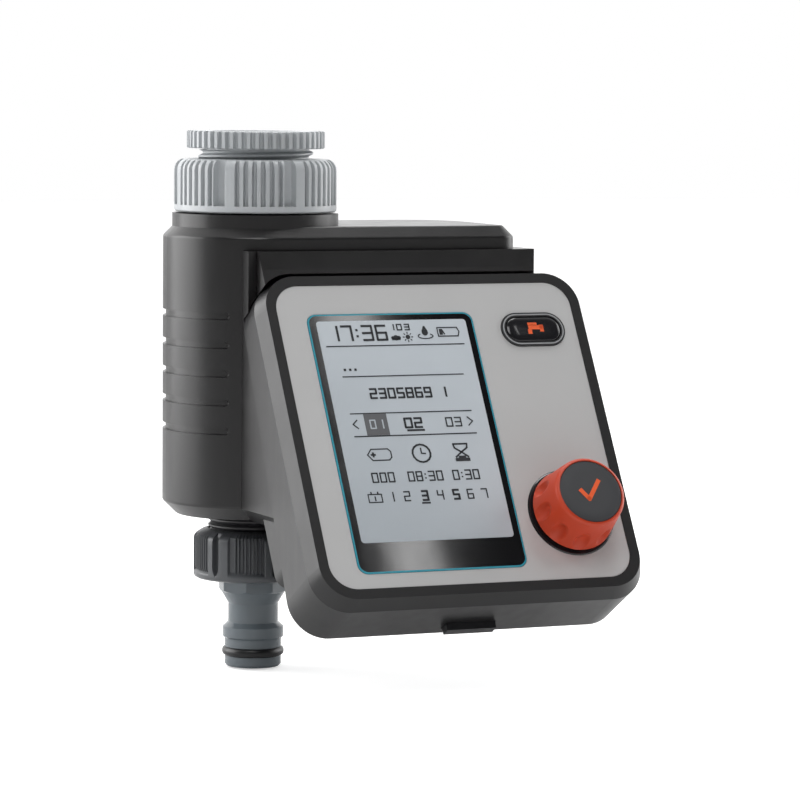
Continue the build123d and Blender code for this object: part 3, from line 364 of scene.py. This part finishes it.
def build_adapter():
    bm = bmesh.new()
    profile = [(13.2, 0), (ADAPTER_R - 0.35, 0), (ADAPTER_R, -0.3)]
    profile += [(ADAPTER_R, z) for z in heights(-1, RIM_LOW + 0.3, 4)]
    profile += [(ADAPTER_R - 0.35, RIM_LOW), (THREAD_R - 1.2, RIM_LOW), (THREAD_R - 1.2, RIM_LOW - 0.4)]
    profile += [(THREAD_R, z) for z in heights(THREAD_TOP, THREAD_END, 30)]
    profile += [(THREAD_R - 1.0, THREAD_END - 0.2), (THREAD_R - 1.0, ADAPTER_BOTTOM)]
    profile += [(WATERWAY_R, ADAPTER_BOTTOM), (WATERWAY_R, SOCKET_FLOOR)]
    profile += [(SOCKET_R, SOCKET_FLOOR), (SOCKET_R, -1.1)]
    lathe(bm, profile, RIM_RIBS * 10)
    rework(bm, adapter_radius)
    piece(bm, "tap_adapter_ribbed", "adapter", [LIGHT_GREY], replaces=["tap_adapter"])


NUT_R = high("union_nut").x
NUT_TOP, NUT_BOTTOM = high("union_nut").z, low("union_nut").z
NUT_SECTORS = 7
NUT_START = AWAY_FROM_VIEW + 23.0
NUT_BAND = 2.05
NUT_BORE, NUT_NECK_BORE, NUT_SEAT = 16.75, 13.0, -19.9
SHOULDER, CROWN = 2.9, 3.2
# in degrees from the start of a sector
RECESS_CENTRE, RECESS_HALF, RECESS_DEPTH = 4.4, 3.6, 2.4
GROOVES, GROOVE_PITCH, FIRST_GROOVE = 6, 6.15, 17.7
GROOVE_HALF, GROOVE_DEPTH = 1.0, 1.9


def groove_cut(distance, half_width, wall):
    """1 inside a groove, 0 outside it, with soft walls. All in degrees."""
    return 1 - ease((distance - half_width) / wall)


def union_radius(r, turn, z):
    if r < NUT_R - 3.2 or z < NUT_BOTTOM + NUT_BAND:
        return r
    sector = 360 / NUT_SECTORS
    place = (turn - NUT_START) % sector
    from_recess = min(abs(place - RECESS_CENTRE), abs(place - RECESS_CENTRE - sector))
    depth = RECESS_DEPTH * groove_cut(from_recess, RECESS_HALF, 0.9)
    for k in range(GROOVES):
        centre = FIRST_GROOVE + GROOVE_PITCH * k
        depth = max(depth, GROOVE_DEPTH * groove_cut(abs(place - centre), GROOVE_HALF, 0.75))
    return min(r, NUT_R - depth)


def build_union_nut():
    bm = bmesh.new()
    profile = [(NUT_BORE, NUT_TOP), (NUT_R - SHOULDER, NUT_TOP)]
    for k in range(1, 7):
        turn = pi / 2 * k / 6
        profile.append((NUT_R - SHOULDER + SHOULDER * sin(turn), NUT_TOP - CROWN + CROWN * cos(turn)))
    profile += [(NUT_R, z) for z in heights(NUT_TOP - 4, NUT_BOTTOM + NUT_BAND + 0.02, 5)]
    profile += [(NUT_R, NUT_BOTTOM + NUT_BAND - 0.1), (NUT_R, NUT_BOTTOM + 0.4), (NUT_R - 0.4, NUT_BOTTOM)]
    profile += [(NUT_NECK_BORE, NUT_BOTTOM), (NUT_NECK_BORE, NUT_SEAT), (NUT_BORE, NUT_SEAT)]
    lathe(bm, profile, 1008)
    rework(bm, union_radius)
    piece(bm, "union_nut_ribbed", "union_nut", [LIGHT_GREY], replaces=["union_nut"])


OUT_R = high("outlet_nut").x
OUT_TOP, OUT_BOTTOM = high("outlet_nut").z, low("outlet_nut").z
OUT_START = AWAY_FROM_VIEW - 40.5
FIELD_LOW = OUT_BOTTOM + 2.1
OUT_BORE, OUT_NECK_BORE, OUT_SEAT = 13.35, 10.5, OUT_BOTTOM + 3
OUT_SECTORS = 6
# in degrees from the start of a sector
SLOT_CENTRE, SLOT_HALF, SLOT_DEPTH = 3.5, 2.9, 1.7
FIELD_CENTRE, FIELD_HALF, FIELD_DEPTH = 35.9, 17.3, 0.95
FIELD_RIBS, FIRST_FIELD_RIB, FIELD_RIB_PITCH = 9, 25.0, 3.52


def outlet_radius(r, turn, z):
    if r < OUT_R - 4.5 or z < FIELD_LOW - 0.9:
        return r
    place = (turn - OUT_START) % (360 / OUT_SECTORS)
    from_low = z - FIELD_LOW
    slot_end = max(0.0, 2.4 - from_low) * 0.9        # the slot narrows to a rounded end
    slot_half = max(0.2, SLOT_HALF - slot_end * slot_end * 0.5)
    depth = SLOT_DEPTH * groove_cut(abs(place - SLOT_CENTRE), slot_half, 0.9)
    depth *= ease((from_low + 0.5) / 0.9)
    field = groove_cut(abs(place - FIELD_CENTRE), FIELD_HALF, 1.2) * ease((from_low + 0.2) / 1.1)
    rib = 0.0
    for k in range(FIELD_RIBS):
        rib = max(rib, groove_cut(abs(place - FIRST_FIELD_RIB - FIELD_RIB_PITCH * k), 0.35, 0.8))
    depth = max(depth, FIELD_DEPTH * field * (1 - 0.85 * rib * ease((from_low - 0.4) / 0.8)))
    return min(r, OUT_R - depth)


def build_outlet_nut():
    bm = bmesh.new()
    profile = [(OUT_BORE, OUT_TOP), (OUT_R - 3.9, OUT_TOP), (OUT_R - 2.3, OUT_TOP - 0.5)]
    profile += [(OUT_R - 0.7, OUT_TOP - 1.5)]
    profile += [(OUT_R - 0.2, OUT_TOP - 2.1), (OUT_R, OUT_TOP - 2.8)]
    profile += [(OUT_R, z) for z in heights(OUT_TOP - 4, FIELD_LOW + 2.4, 3)]
    profile += [(OUT_R, z) for z in heights(FIELD_LOW + 2.1, FIELD_LOW - 0.6, 9)]
    profile += [(OUT_R, OUT_BOTTOM + 1.2), (OUT_R - 0.25, OUT_BOTTOM + 0.5), (OUT_R - 0.9, OUT_BOTTOM + 0.1)]
    profile += [(OUT_R - 1.8, OUT_BOTTOM), (OUT_NECK_BORE, OUT_BOTTOM)]
    profile += [(OUT_NECK_BORE, OUT_SEAT), (OUT_BORE, OUT_SEAT)]
    lathe(bm, profile, 1080)
    rework(bm, outlet_radius)
    piece(bm, "outlet_nut_ribbed", "outlet_nut", [MID_GREY], replaces=["outlet_nut"])


build_adapter()
build_union_nut()
build_outlet_nut()


# ---------------------------------------------------------------- display window
window_u, window_v, window_w = panel_span("display_window")
WINDOW_CENTRE = (sum(window_u) / 2, sum(window_v) / 2)
WINDOW_W, WINDOW_H = window_u[1] - window_u[0], window_v[1] - window_v[0]
WINDOW_R = 3.0
LCD_SPAN = panel_span("lcd_panel")
LCD_CENTRE = (sum(LCD_SPAN[0]) / 2, sum(LCD_SPAN[1]) / 2)
FILM_W, FILM_H, FILM_R, FILM_T = 46.0, 67.9, 1.0, 0.5
FILM_CENTRE = (LCD_CENTRE[0] + 0.1, LCD_CENTRE[1] - 0.85)
OUTLINE_W, OUTLINE_EDGE = 0.5, 0.12


def window_loop(bm, inset, w):
    return rounded_loop(bm, WINDOW_W - 2 * inset, WINDOW_H - 2 * inset, WINDOW_R - inset, w, WINDOW_CENTRE)


def build_window_border():
    """Black printed border, round an opening of the film's size."""
    glass_back, glass_front = window_w
    bm = bmesh.new()
    loops = [window_loop(bm, OUTLINE_W, glass_back), window_loop(bm, OUTLINE_W, glass_front)]
    loops += [rounded_loop(bm, FILM_W, FILM_H, FILM_R, w, FILM_CENTRE) for w in (glass_front, glass_back)]
    skin(bm, loops, ring=True)
    piece(bm, "window_border", "control_unit", [BORDER], PANEL, replaces=["display_window"])


def build_window_outline():
    """Coloured line round the border."""
    glass_back, glass_front = window_w
    steps = [(0, glass_back), (0, glass_front - OUTLINE_EDGE), (OUTLINE_EDGE, glass_front)]
    steps += [(OUTLINE_W, glass_front), (OUTLINE_W, glass_back)]
    bm = bmesh.new()
    skin(bm, [window_loop(bm, inset, w) for inset, w in steps], ring=True)
    piece(bm, "window_outline", "control_unit", [OUTLINE], PANEL)


def build_film():
    """Bonded film that the display shows through."""
    glass_front = window_w[1]
    bm = bmesh.new()
    plaque(bm, FILM_W, FILM_H, FILM_R, glass_front - FILM_T, glass_front, FILM_CENTRE, edge=0.02, arc_steps=5)
    piece(bm, "lcd_film", "control_unit", [LCD], PANEL)


build_window_border()
build_window_outline()
build_film()


# ---------------------------------------------------------------- what the display shows
GLYPH_W = window_w[1] + 0.01     # where the print lies, just over the film
GLYPH_T = 0.05
HAIR, FINE, LINE, BOLD = 0.32, 0.36, 0.42, 0.62
BOLD_DAYS = (2, 4)
DIGIT_H = 2.7
glyphs = bmesh.new()


def bar(u, v, width, height, turn=0.0):
    """Printed bar with its centre at u, v on the display."""
    place = Matrix.Translation((u, v, GLYPH_W + GLYPH_T / 2)) @ Matrix.Rotation(turn, 4, "Z")
    bmesh.ops.create_cube(glyphs, size=1, matrix=place @ Matrix.Diagonal((width, height, GLYPH_T, 1)))


def stroke(a, b, thick=LINE):
    """Straight line from a to b, a little longer than they are apart, so that corners close."""
    du, dv = b[0] - a[0], b[1] - a[1]
    bar((a[0] + b[0]) / 2, (a[1] + b[1]) / 2, hypot(du, dv) + thick * 0.6, thick, atan2(dv, du))


def chain(points, thick=LINE, closed=False):
    ends = points[1:] + (points[:1] if closed else [])
    for a, b in zip(points, ends):
        stroke(a, b, thick)


def disc(u, v, radius):
    place = Matrix.Translation((u, v, GLYPH_W + GLYPH_T / 2))
    bmesh.ops.create_cone(glyphs, cap_ends=True, segments=16, radius1=radius, radius2=radius, depth=GLYPH_T,
                          matrix=place)


def circle_line(u, v, radius, thick=LINE, steps=16):
    turns = [2 * pi * k / steps for k in range(steps + 1)]
    chain([(u + radius * cos(t), v + radius * sin(t)) for t in turns], thick)


# lit bars of a seven-bar digit: top, upper left, upper right, middle, lower left, lower right, bottom
DIGIT_BARS = {
    "0": "1110111", "1": "0010010", "2": "1011101", "3": "1011011", "4": "0111010",
    "5": "1101011", "6": "1101111", "7": "1010010", "8": "1111111", "9": "1111011",
}


def digit(character, u, v, width, height, thick):
    """One digit with its lower left corner at u, v."""
    half = height / 2
    corners = [(u + across, v + up) for up in (height, half, 0) for across in (0, width)]
    ends = [(0, 1), (0, 2), (1, 3), (2, 3), (2, 4), (3, 5), (4, 5)]
    for lit, (a, b) in zip(DIGIT_BARS[character], ends):
        if lit == "1":
            stroke(corners[a], corners[b], thick)


def number(text, u, v, width, height, gap, thick):
    """Digits and colons from left to right."""
    for character in text:
        if character == ":":
            bar(u + thick * 0.5, v + height * 0.28, thick, thick)
            bar(u + thick * 0.5, v + height * 0.72, thick, thick)
            u += thick + gap
        elif character == " ":
            u += width
        else:
            digit(character, u, v, width, height, thick)
            u += width + gap


LEFT, TOP_V = LCD_SPAN[0][0], LCD_SPAN[1][1]


def at(across, down):
    """Place on the display, from its upper left corner."""
    return LEFT + across, TOP_V - down


def top_row():
    """The time, two weather signs, a drop and the battery."""
    number("17:36", *at(3.3, 7.5), 2.9, 4.4, 1.35, 0.66)
    number("103", *at(22.3, 4.5), 1.35, 1.7, 1.0, 0.36)
    u, v = at(23.7, 7.0)
    for shift, radius in ((-0.9, 0.55), (0, 0.85), (0.9, 0.6)):
        disc(u + shift, v, radius)
    bar(u, v - 0.4, 2.6, 0.6)
    u, v = at(27.4, 6.8)
    disc(u, v, 0.7)
    for k in range(8):
        turn = pi / 4 * k
        stroke((u + 1.1 * cos(turn), v + 1.1 * sin(turn)), (u + 1.5 * cos(turn), v + 1.5 * sin(turn)), 0.28)
    u, v = at(32.9, 5.5)
    disc(u, v, 0.95)
    chain([(u - 0.6, v + 0.5), (u, v + 1.8), (u + 0.6, v + 0.5)], 0.6)
    ring = [(u + 2.3 * cos(pi / 8 * k), v - 1.1 + 0.8 * sin(pi / 8 * k)) for k in range(6, 19)]
    chain(ring, 0.3)
    u, v = at(40.2, 5.4)
    cell = [(-3.3, -1.35), (2.8, -1.35), (3.3, 0), (2.8, 1.35), (-3.3, 1.35)]
    chain([(u + x, v + y) for x, y in cell], 0.34, True)
    bar(u - 2.3, v, 1.0, 1.8)
    stroke((u - 1.9, v + 0.6), (u - 1.3, v - 0.7), 0.4)
    stroke(at(2.05, 9.3), at(44.3, 9.3), HAIR)


def title_rows():
    """Three dots, and a bold title between two lines."""
    for k in range(3):
        bar(*at(6.1 + 1.6 * k, 16.65), 0.7, 0.7)
    stroke(at(5.05, 18.8), at(41.9, 18.8), HAIR)
    number("2305869 1", *at(12.25, 25.6), 1.8, 2.8, 0.97, 0.58)
    stroke(at(4.9, 30.25), at(41.8, 30.25), HAIR)


def tab_row():
    """The second and third tab, between two arrows."""
    number("02", *at(20.8, 34.9), 2.0, 2.75, 1.0, BOLD)
    stroke(at(21.2, 35.8), at(26.2, 35.8), 0.6)
    number("03", *at(33.4, 34.9), 1.8, 2.6, 0.9, 0.4)
    for middle, side in ((5.8, -1), (40.8, 1)):
        u, v = at(middle, 33.5)
        chain([(u - side * 0.7, v + 1.3), (u + side * 0.7, v), (u - side * 0.7, v - 1.3)], FINE)
    stroke(at(4.8, 37.25), at(41.9, 37.25), FINE)


def icon_row():
    """Sensor tag, clock and hourglass, with a value under each."""
    u, v = at(11.1, 42.95)
    tag = [(-3.6, 0), (-2.3, 1.7), (2.7, 1.7), (3.5, 0.9), (3.5, -0.9), (2.7, -1.7), (-2.3, -1.7)]
    chain([(u + x, v + y) for x, y in tag], 0.34, True)
    bar(u - 1.9, v, 1.5, 0.55)
    bar(u - 1.9, v, 0.55, 1.5)
    u, v = at(23.8, 42.95)
    circle_line(u, v, 2.7, 0.55, 16)
    stroke((u, v), (u, v + 1.6), 0.4)
    stroke((u, v), (u + 1.2, v - 0.1), 0.4)
    u, v = at(36.0, 42.95)
    for side in (-1, 1):
        chain([(u + side * 2.1, v + 2.5), (u + side * 1.9, v + 1.3), (u, v), (u + side * 1.9, v - 1.5)], 0.5)
    bar(u, v + 2.5, 4.6, 0.5)
    bar(u, v - 1.5, 2.2, 0.7)
    bar(u, v - 2.3, 4.4, 1.0)
    for start, text in ((7.5, "000"), (18.4, "08:30"), (32.0, "0:30")):
        number(text, *at(start, 51.25), 1.6, DIGIT_H, 0.85, LINE)


def day_row():
    """A calendar sheet and the seven days, of which two are bold."""
    u, v = at(7.1, 56.0)
    chain([(u - 2.0, v - 1.3), (u + 2.0, v - 1.3), (u + 2.0, v + 1.1), (u - 2.0, v + 1.1)], 0.34, True)
    for shift in (-1.0, 1.0):
        bar(u + shift, v + 1.5, 0.4, 0.8)
    bar(u, v - 0.2, 0.4, 1.4)
    for day, middle in enumerate((11.8, 16.7, 22.1, 26.8, 31.6, 35.9, 40.2)):
        u, v = at(middle, 57.15)
        thick = BOLD if day in BOLD_DAYS else 0.38
        digit(str(day + 1), u - 0.8, v, 1.6, DIGIT_H, thick)
    stroke(at(20.9, 58.0), at(23.2, 58.0), 0.5)


def printed(name, finishes):
    """Turns the marks gathered so far into one piece."""
    global glyphs
    piece(glyphs, name, "control_unit", finishes, PANEL)
    glyphs = bmesh.new()


top_row()
title_rows()
tab_row()
icon_row()
day_row()
printed("display_marks", [MARKS])
bar(*at(12.15, 33.7), 6.9, 6.6)
printed("tab_field", [TAB])
GLYPH_W += 0.02
number("01", *at(10.3, 34.9), 1.5, 2.5, 0.8, 0.4)
printed("tab_digits", [LCD])


# ---------------------------------------------------------------- knob and its disc
TURN_POINT = on_panel(Vector(JOINTS["knob_turn"]["pos_m"]) / MM)
KNOB_PLACE = PANEL @ Matrix.Translation((TURN_POINT[0], TURN_POINT[1], 0))
KNOB_LOW, KNOB_HIGH = panel_span("knob")[2]
KNOB_BASE_R = (panel_span("knob")[0][1] - panel_span("knob")[0][0]) / 2
KNOB_TOP_R = 10.3
DISC_R = 9.3
DIMPLES, DIMPLE_DEPTH = 10, 1.5
STEM_R = 3.2


def knob_radius(r, turn, z):
    """Finger dimples, oval and longer along the axis."""
    if r < KNOB_TOP_R - 0.6 or z < KNOB_LOW + 1.0:
        return r
    pitch = 360 / DIMPLES
    across = ((turn - 9 + pitch / 2) % pitch - pitch / 2) / (pitch * 0.31)
    along = (z - KNOB_LOW - 4.7) / 3.9
    away = across * across + along * along
    return r - DIMPLE_DEPTH * (1 - away) if away < 1 else r


def build_knob():
    bm = bmesh.new()
    disc_floor = panel_span("knob_disc")[2][0] - 0.05
    profile = [(KNOB_BASE_R - 1.1, KNOB_LOW), (KNOB_BASE_R - 0.4, KNOB_LOW + 0.15)]
    profile += [(KNOB_BASE_R, KNOB_LOW + 0.8)]
    side_top = KNOB_HIGH - 1.5
    for k in range(1, 25):
        z = KNOB_LOW + 0.8 + (side_top - KNOB_LOW - 0.8) * k / 24
        share = (z - KNOB_LOW) / (side_top - KNOB_LOW)
        profile.append((KNOB_BASE_R + (KNOB_TOP_R + 0.2 - KNOB_BASE_R) * share ** 1.15, z))
    for k in range(1, 6):
        turn = pi / 2 * k / 5
        profile.append((KNOB_TOP_R - 0.9 + 1.1 * cos(turn), side_top + 1.5 * sin(turn)))
    profile += [(DISC_R + 0.12, KNOB_HIGH), (DISC_R + 0.06, KNOB_HIGH - 0.12), (DISC_R + 0.06, disc_floor)]
    profile += [(STEM_R, disc_floor), (STEM_R, KNOB_LOW + 2), (8.6, KNOB_LOW + 2), (9.2, KNOB_LOW)]
    lathe(bm, profile, 400)
    rework(bm, knob_radius)
    piece(bm, "knob_dimpled", "knob", [ORANGE], KNOB_PLACE, replaces=["knob"])


def build_knob_disc():
    bm = bmesh.new()
    floor_w, top_w = panel_span("knob_disc")[2]
    profile = [(0.0, floor_w), (DISC_R, floor_w), (DISC_R, top_w - 0.25), (DISC_R - 0.1, top_w - 0.08)]
    profile += [(DISC_R - 0.35, top_w), (6.0, top_w - 0.04), (3.0, top_w - 0.06), (0.0, top_w - 0.06)]
    lathe(bm, profile, 128)
    piece(bm, "knob_disc_face", "knob", [DISC], KNOB_PLACE, replaces=["knob_disc"])
    # tick printed on the disc
    bm = bmesh.new()
    for a, b in (((-2.9, 0.5), (-0.9, -2.2)), ((-0.9, -2.2), (3.0, 3.1))):
        middle = ((a[0] + b[0]) / 2, (a[1] + b[1]) / 2, top_w - 0.03)
        du, dv = b[0] - a[0], b[1] - a[1]
        place = Matrix.Translation(middle) @ Matrix.Rotation(atan2(dv, du), 4, "Z")
        size = Matrix.Diagonal((hypot(du, dv) + 0.9, 1.25, 0.06, 1))
        bmesh.ops.create_cube(bm, size=1, matrix=place @ size)
    piece(bm, "knob_tick", "knob", [ORANGE_PRINT], KNOB_PLACE)


build_knob()
build_knob_disc()


# ---------------------------------------------------------------- button
button_span = panel_span("manual_button")
BUTTON_CENTRE = (sum(button_span[0]) / 2, sum(button_span[1]) / 2)
BUTTON_W, BUTTON_H = 17.2, 7.8
BUTTON_LOW, BUTTON_TOP = button_span[2][0] + 1.4, button_span[2][1]
CROWN_H = 0.35
LINE_INNER, LINE_OUTER = 0.55, 0.9      # how far the light line lies outside the button


def slot_loop(bm, grow, w):
    """Slot-shaped loop, as large as the button and grown all round."""
    half = BUTTON_H / 2 + grow
    return rounded_loop(bm, BUTTON_W + 2 * grow, 2 * half, half - 0.01, w, BUTTON_CENTRE, 12)


def build_button():
    """Cap with a rounded shoulder and a slightly crowned top."""
    bm = bmesh.new()
    shoulder = BUTTON_TOP - CROWN_H
    steps = [(0, BUTTON_LOW), (0, shoulder - 0.5), (0.15, shoulder - 0.2), (0.45, shoulder)]
    steps += [(1.4, BUTTON_TOP - CROWN_H * 0.45), (2.6, BUTTON_TOP - CROWN_H * 0.1), (3.4, BUTTON_TOP)]
    skin(bm, [slot_loop(bm, -inset, w) for inset, w in steps])
    piece(bm, "manual_button_cap", "manual_button", [GLOSS], PANEL, replaces=["manual_button"])


def build_button_symbol():
    """Plain sign of a tap, from five bars."""
    bm = bmesh.new()
    u, v = BUTTON_CENTRE[0] + 0.3, BUTTON_CENTRE[1] + 0.1
    parts = [((u - 0.6, v + 1.35), (2.9, 0.75)), ((u - 0.6, v + 0.8), (0.8, 0.9))]
    parts += [((u + 0.3, v + 0.2), (4.6, 1.3)), ((u + 2.1, v - 0.1), (1.2, 2.2))]
    parts += [((u - 1.7, v - 1.1), (1.25, 1.5))]
    for (cu, cv), (width, height) in parts:
        place = Matrix.Translation((cu, cv, BUTTON_TOP - 0.05)) @ Matrix.Diagonal((width, height, 0.11, 1))
        bmesh.ops.create_cube(bm, size=1, matrix=place)
    piece(bm, "button_symbol", "manual_button", [ORANGE_PRINT], PANEL)


def build_bezel_line():
    """Thin light line inside the bezel."""
    bm = bmesh.new()
    bezel_top = panel_span("button_bezel")[2][1]
    low_w, high_w = bezel_top - 0.1, bezel_top + 0.03
    steps = [(LINE_OUTER, low_w), (LINE_OUTER, high_w), (LINE_INNER, high_w), (LINE_INNER, low_w)]
    skin(bm, [slot_loop(bm, grow, w) for grow, w in steps], ring=True)
    piece(bm, "bezel_line", "control_unit", [RING_GREY], PANEL)


build_button()
build_button_symbol()
build_bezel_line()


# ---------------------------------------------------------------- floor, light and camera
# lights in metres: name, place, width, height and watts
LIT_POINT = (0.03, -0.03, -0.08)
SOFT_LIGHTS = (
    ("left_panel", (-0.85, 0.50, 0.05), 1.0, 1.2, 13),
    ("right_panel", (1.05, 0.0, 0.05), 0.7, 1.2, 9),
    ("key_softbox", (-0.35, -0.75, 0.90), 0.6, 0.6, 5.5),
    ("overhead", (0.15, 0.25, 0.95), 0.6, 0.4, 5),
)
FLOOR_GLOW = 0.55
FRONT_DIM, BACK_BRIGHT = 0.07, 1.6
STRIP_AWAY, STRIP_W, STRIP_WATTS = 850, 24, 0.15
STRIP_SEEN = ((-25, 36), (-20, -37))     # where it is seen at the top and the foot of the window
CAMERA_AZIMUTH, CAMERA_ELEVATION, CAMERA_ROLL = radians(-23.56), radians(4.75), radians(0.51)
CAMERA_AWAY, CAMERA_SIDEWAYS, CAMERA_AIM_Z = 1081.6, 41.26, -75.8
LENS, SHIFT_X, SHIFT_Y = 167.78, 0.0043, -0.0075


def area_light(name, place, target, width, height, power):
    lamp = bpy.data.lights.new(name, "AREA")
    lamp.shape = "RECTANGLE"
    lamp.size, lamp.size_y = width, height
    lamp.energy = power
    holder = bpy.data.objects.new(name, lamp)
    bpy.context.scene.collection.objects.link(holder)
    holder.location = place
    holder.rotation_euler = (Vector(target) - Vector(place)).to_track_quat("-Z", "Y").to_euler()


def show_white(tree, surface):
    """Lets a stage surface look white to the camera while it gives little light to the object."""
    path = tree.nodes.new("ShaderNodeLightPath")
    white = tree.nodes.new("ShaderNodeEmission")
    white.inputs["Strength"].default_value = FLOOR_GLOW
    total = tree.nodes.new("ShaderNodeAddShader")
    only_seen = tree.nodes.new("ShaderNodeMixShader")
    tree.links.new(surface, total.inputs[0])
    tree.links.new(white.outputs[0], total.inputs[1])
    tree.links.new(path.outputs["Is Camera Ray"], only_seen.inputs[0])
    tree.links.new(surface, only_seen.inputs[1])
    tree.links.new(total.outputs[0], only_seen.inputs[2])
    tree.links.new(only_seen.outputs[0], tree.nodes["Material Output"].inputs["Surface"])


def light_backdrop(tree):
    """White backdrop: bright behind the object, and dim on the side of the camera."""
    background = tree.nodes["Background"]
    coordinates = tree.nodes.new("ShaderNodeTexCoord")
    split = tree.nodes.new("ShaderNodeSeparateXYZ")
    tree.links.new(coordinates.outputs["Generated"], split.inputs[0])
    ramp = tree.nodes.new("ShaderNodeMapRange")
    ramp.interpolation_type = "SMOOTHSTEP"
    ramp.inputs["From Min"].default_value = -0.3
    ramp.inputs["From Max"].default_value = 0.8
    ramp.inputs["To Min"].default_value = FRONT_DIM
    ramp.inputs["To Max"].default_value = BACK_BRIGHT
    tree.links.new(split.outputs["Y"], ramp.inputs["Value"])
    path = tree.nodes.new("ShaderNodeLightPath")
    seen = tree.nodes.new("ShaderNodeMix")
    seen.inputs[3].default_value = 1.0
    tree.links.new(path.outputs["Is Camera Ray"], seen.inputs[0])
    tree.links.new(ramp.outputs["Result"], seen.inputs[2])
    tree.links.new(seen.outputs[0], background.inputs["Strength"])
    background.inputs["Color"].default_value = (1, 1, 1, 1)


def reflected_strip():
    """Slim soft light whose reflection runs down the left third of the display window."""
    ends = []
    for u, v in STRIP_SEEN:
        point = CENTRE + RIGHT * u + UP * v
        to_eye = (camera_place() - point).normalized()
        ends.append((point + (2 * OUT.dot(to_eye) * OUT - to_eye) * STRIP_AWAY) * MM)
    along = ends[0] - ends[1]
    middle = (ends[0] + ends[1]) / 2
    area_light("strip", middle, CENTRE * MM, STRIP_W * MM, along.length * 1.8, STRIP_WATTS)
    towards = (CENTRE * MM - middle).normalized()
    side = along.cross(towards).normalized()
    up = (-towards).cross(side)
    turned = Matrix((side, up, -towards)).transposed()
    bpy.data.objects["strip"].rotation_euler = turned.to_euler()


def build_studio():
    bm = bmesh.new()
    bmesh.ops.create_grid(bm, x_segments=1, y_segments=1, size=4.0)
    bmesh.ops.translate(bm, verts=bm.verts, vec=(0, 0, size_before[0].z - 0.0005))
    mesh = bpy.data.meshes.new("floor")
    bm.to_mesh(mesh)
    bm.free()
    floor_finish = finish("pale_floor", (0.80, 0.80, 0.80), 0.9, shade=0.01, grain=200.0, depth=0.01,
                          marks=0.02)
    show_white(floor_finish.node_tree, floor_finish.node_tree.nodes["Principled BSDF"].outputs[0])
    mesh.materials.append(floor_finish)
    floor_object = bpy.data.objects.new("floor", mesh)
    bpy.context.scene.collection.objects.link(floor_object)
    world = bpy.data.worlds.new("studio")
    world.use_nodes = True
    light_backdrop(world.node_tree)
    bpy.context.scene.world = world
    for name, place, width, height, watts in SOFT_LIGHTS:
        area_light(name, place, LIT_POINT, width, height, watts)
    reflected_strip()


def camera_axes():
    azimuth, elevation = CAMERA_AZIMUTH, CAMERA_ELEVATION
    right = Vector((cos(azimuth), sin(azimuth), 0))
    back = Vector((sin(azimuth) * cos(elevation), -cos(azimuth) * cos(elevation), sin(elevation)))
    return right, back.cross(right), back


def camera_place():
    right, up, back = camera_axes()
    return Vector((0, 0, CAMERA_AIM_Z)) + right * CAMERA_SIDEWAYS + back * CAMERA_AWAY


def build_camera():
    right, up, back = camera_axes()
    turned_right = right * cos(CAMERA_ROLL) + up * sin(CAMERA_ROLL)
    turned_up = up * cos(CAMERA_ROLL) - right * sin(CAMERA_ROLL)
    camera = bpy.data.cameras.new("camera")
    camera.sensor_width = 36
    camera.lens = LENS
    camera.shift_x = SHIFT_X
    camera.shift_y = SHIFT_Y
    camera.clip_end = 50
    holder = bpy.data.objects.new("camera", camera)
    bpy.context.scene.collection.objects.link(holder)
    matrix = Matrix((turned_right, turned_up, back)).transposed().to_4x4()
    matrix.translation = camera_place() * MM
    holder.matrix_world = matrix
    bpy.context.scene.camera = holder


build_studio()
build_camera()
bpy.context.scene.view_settings.view_transform = "Standard"
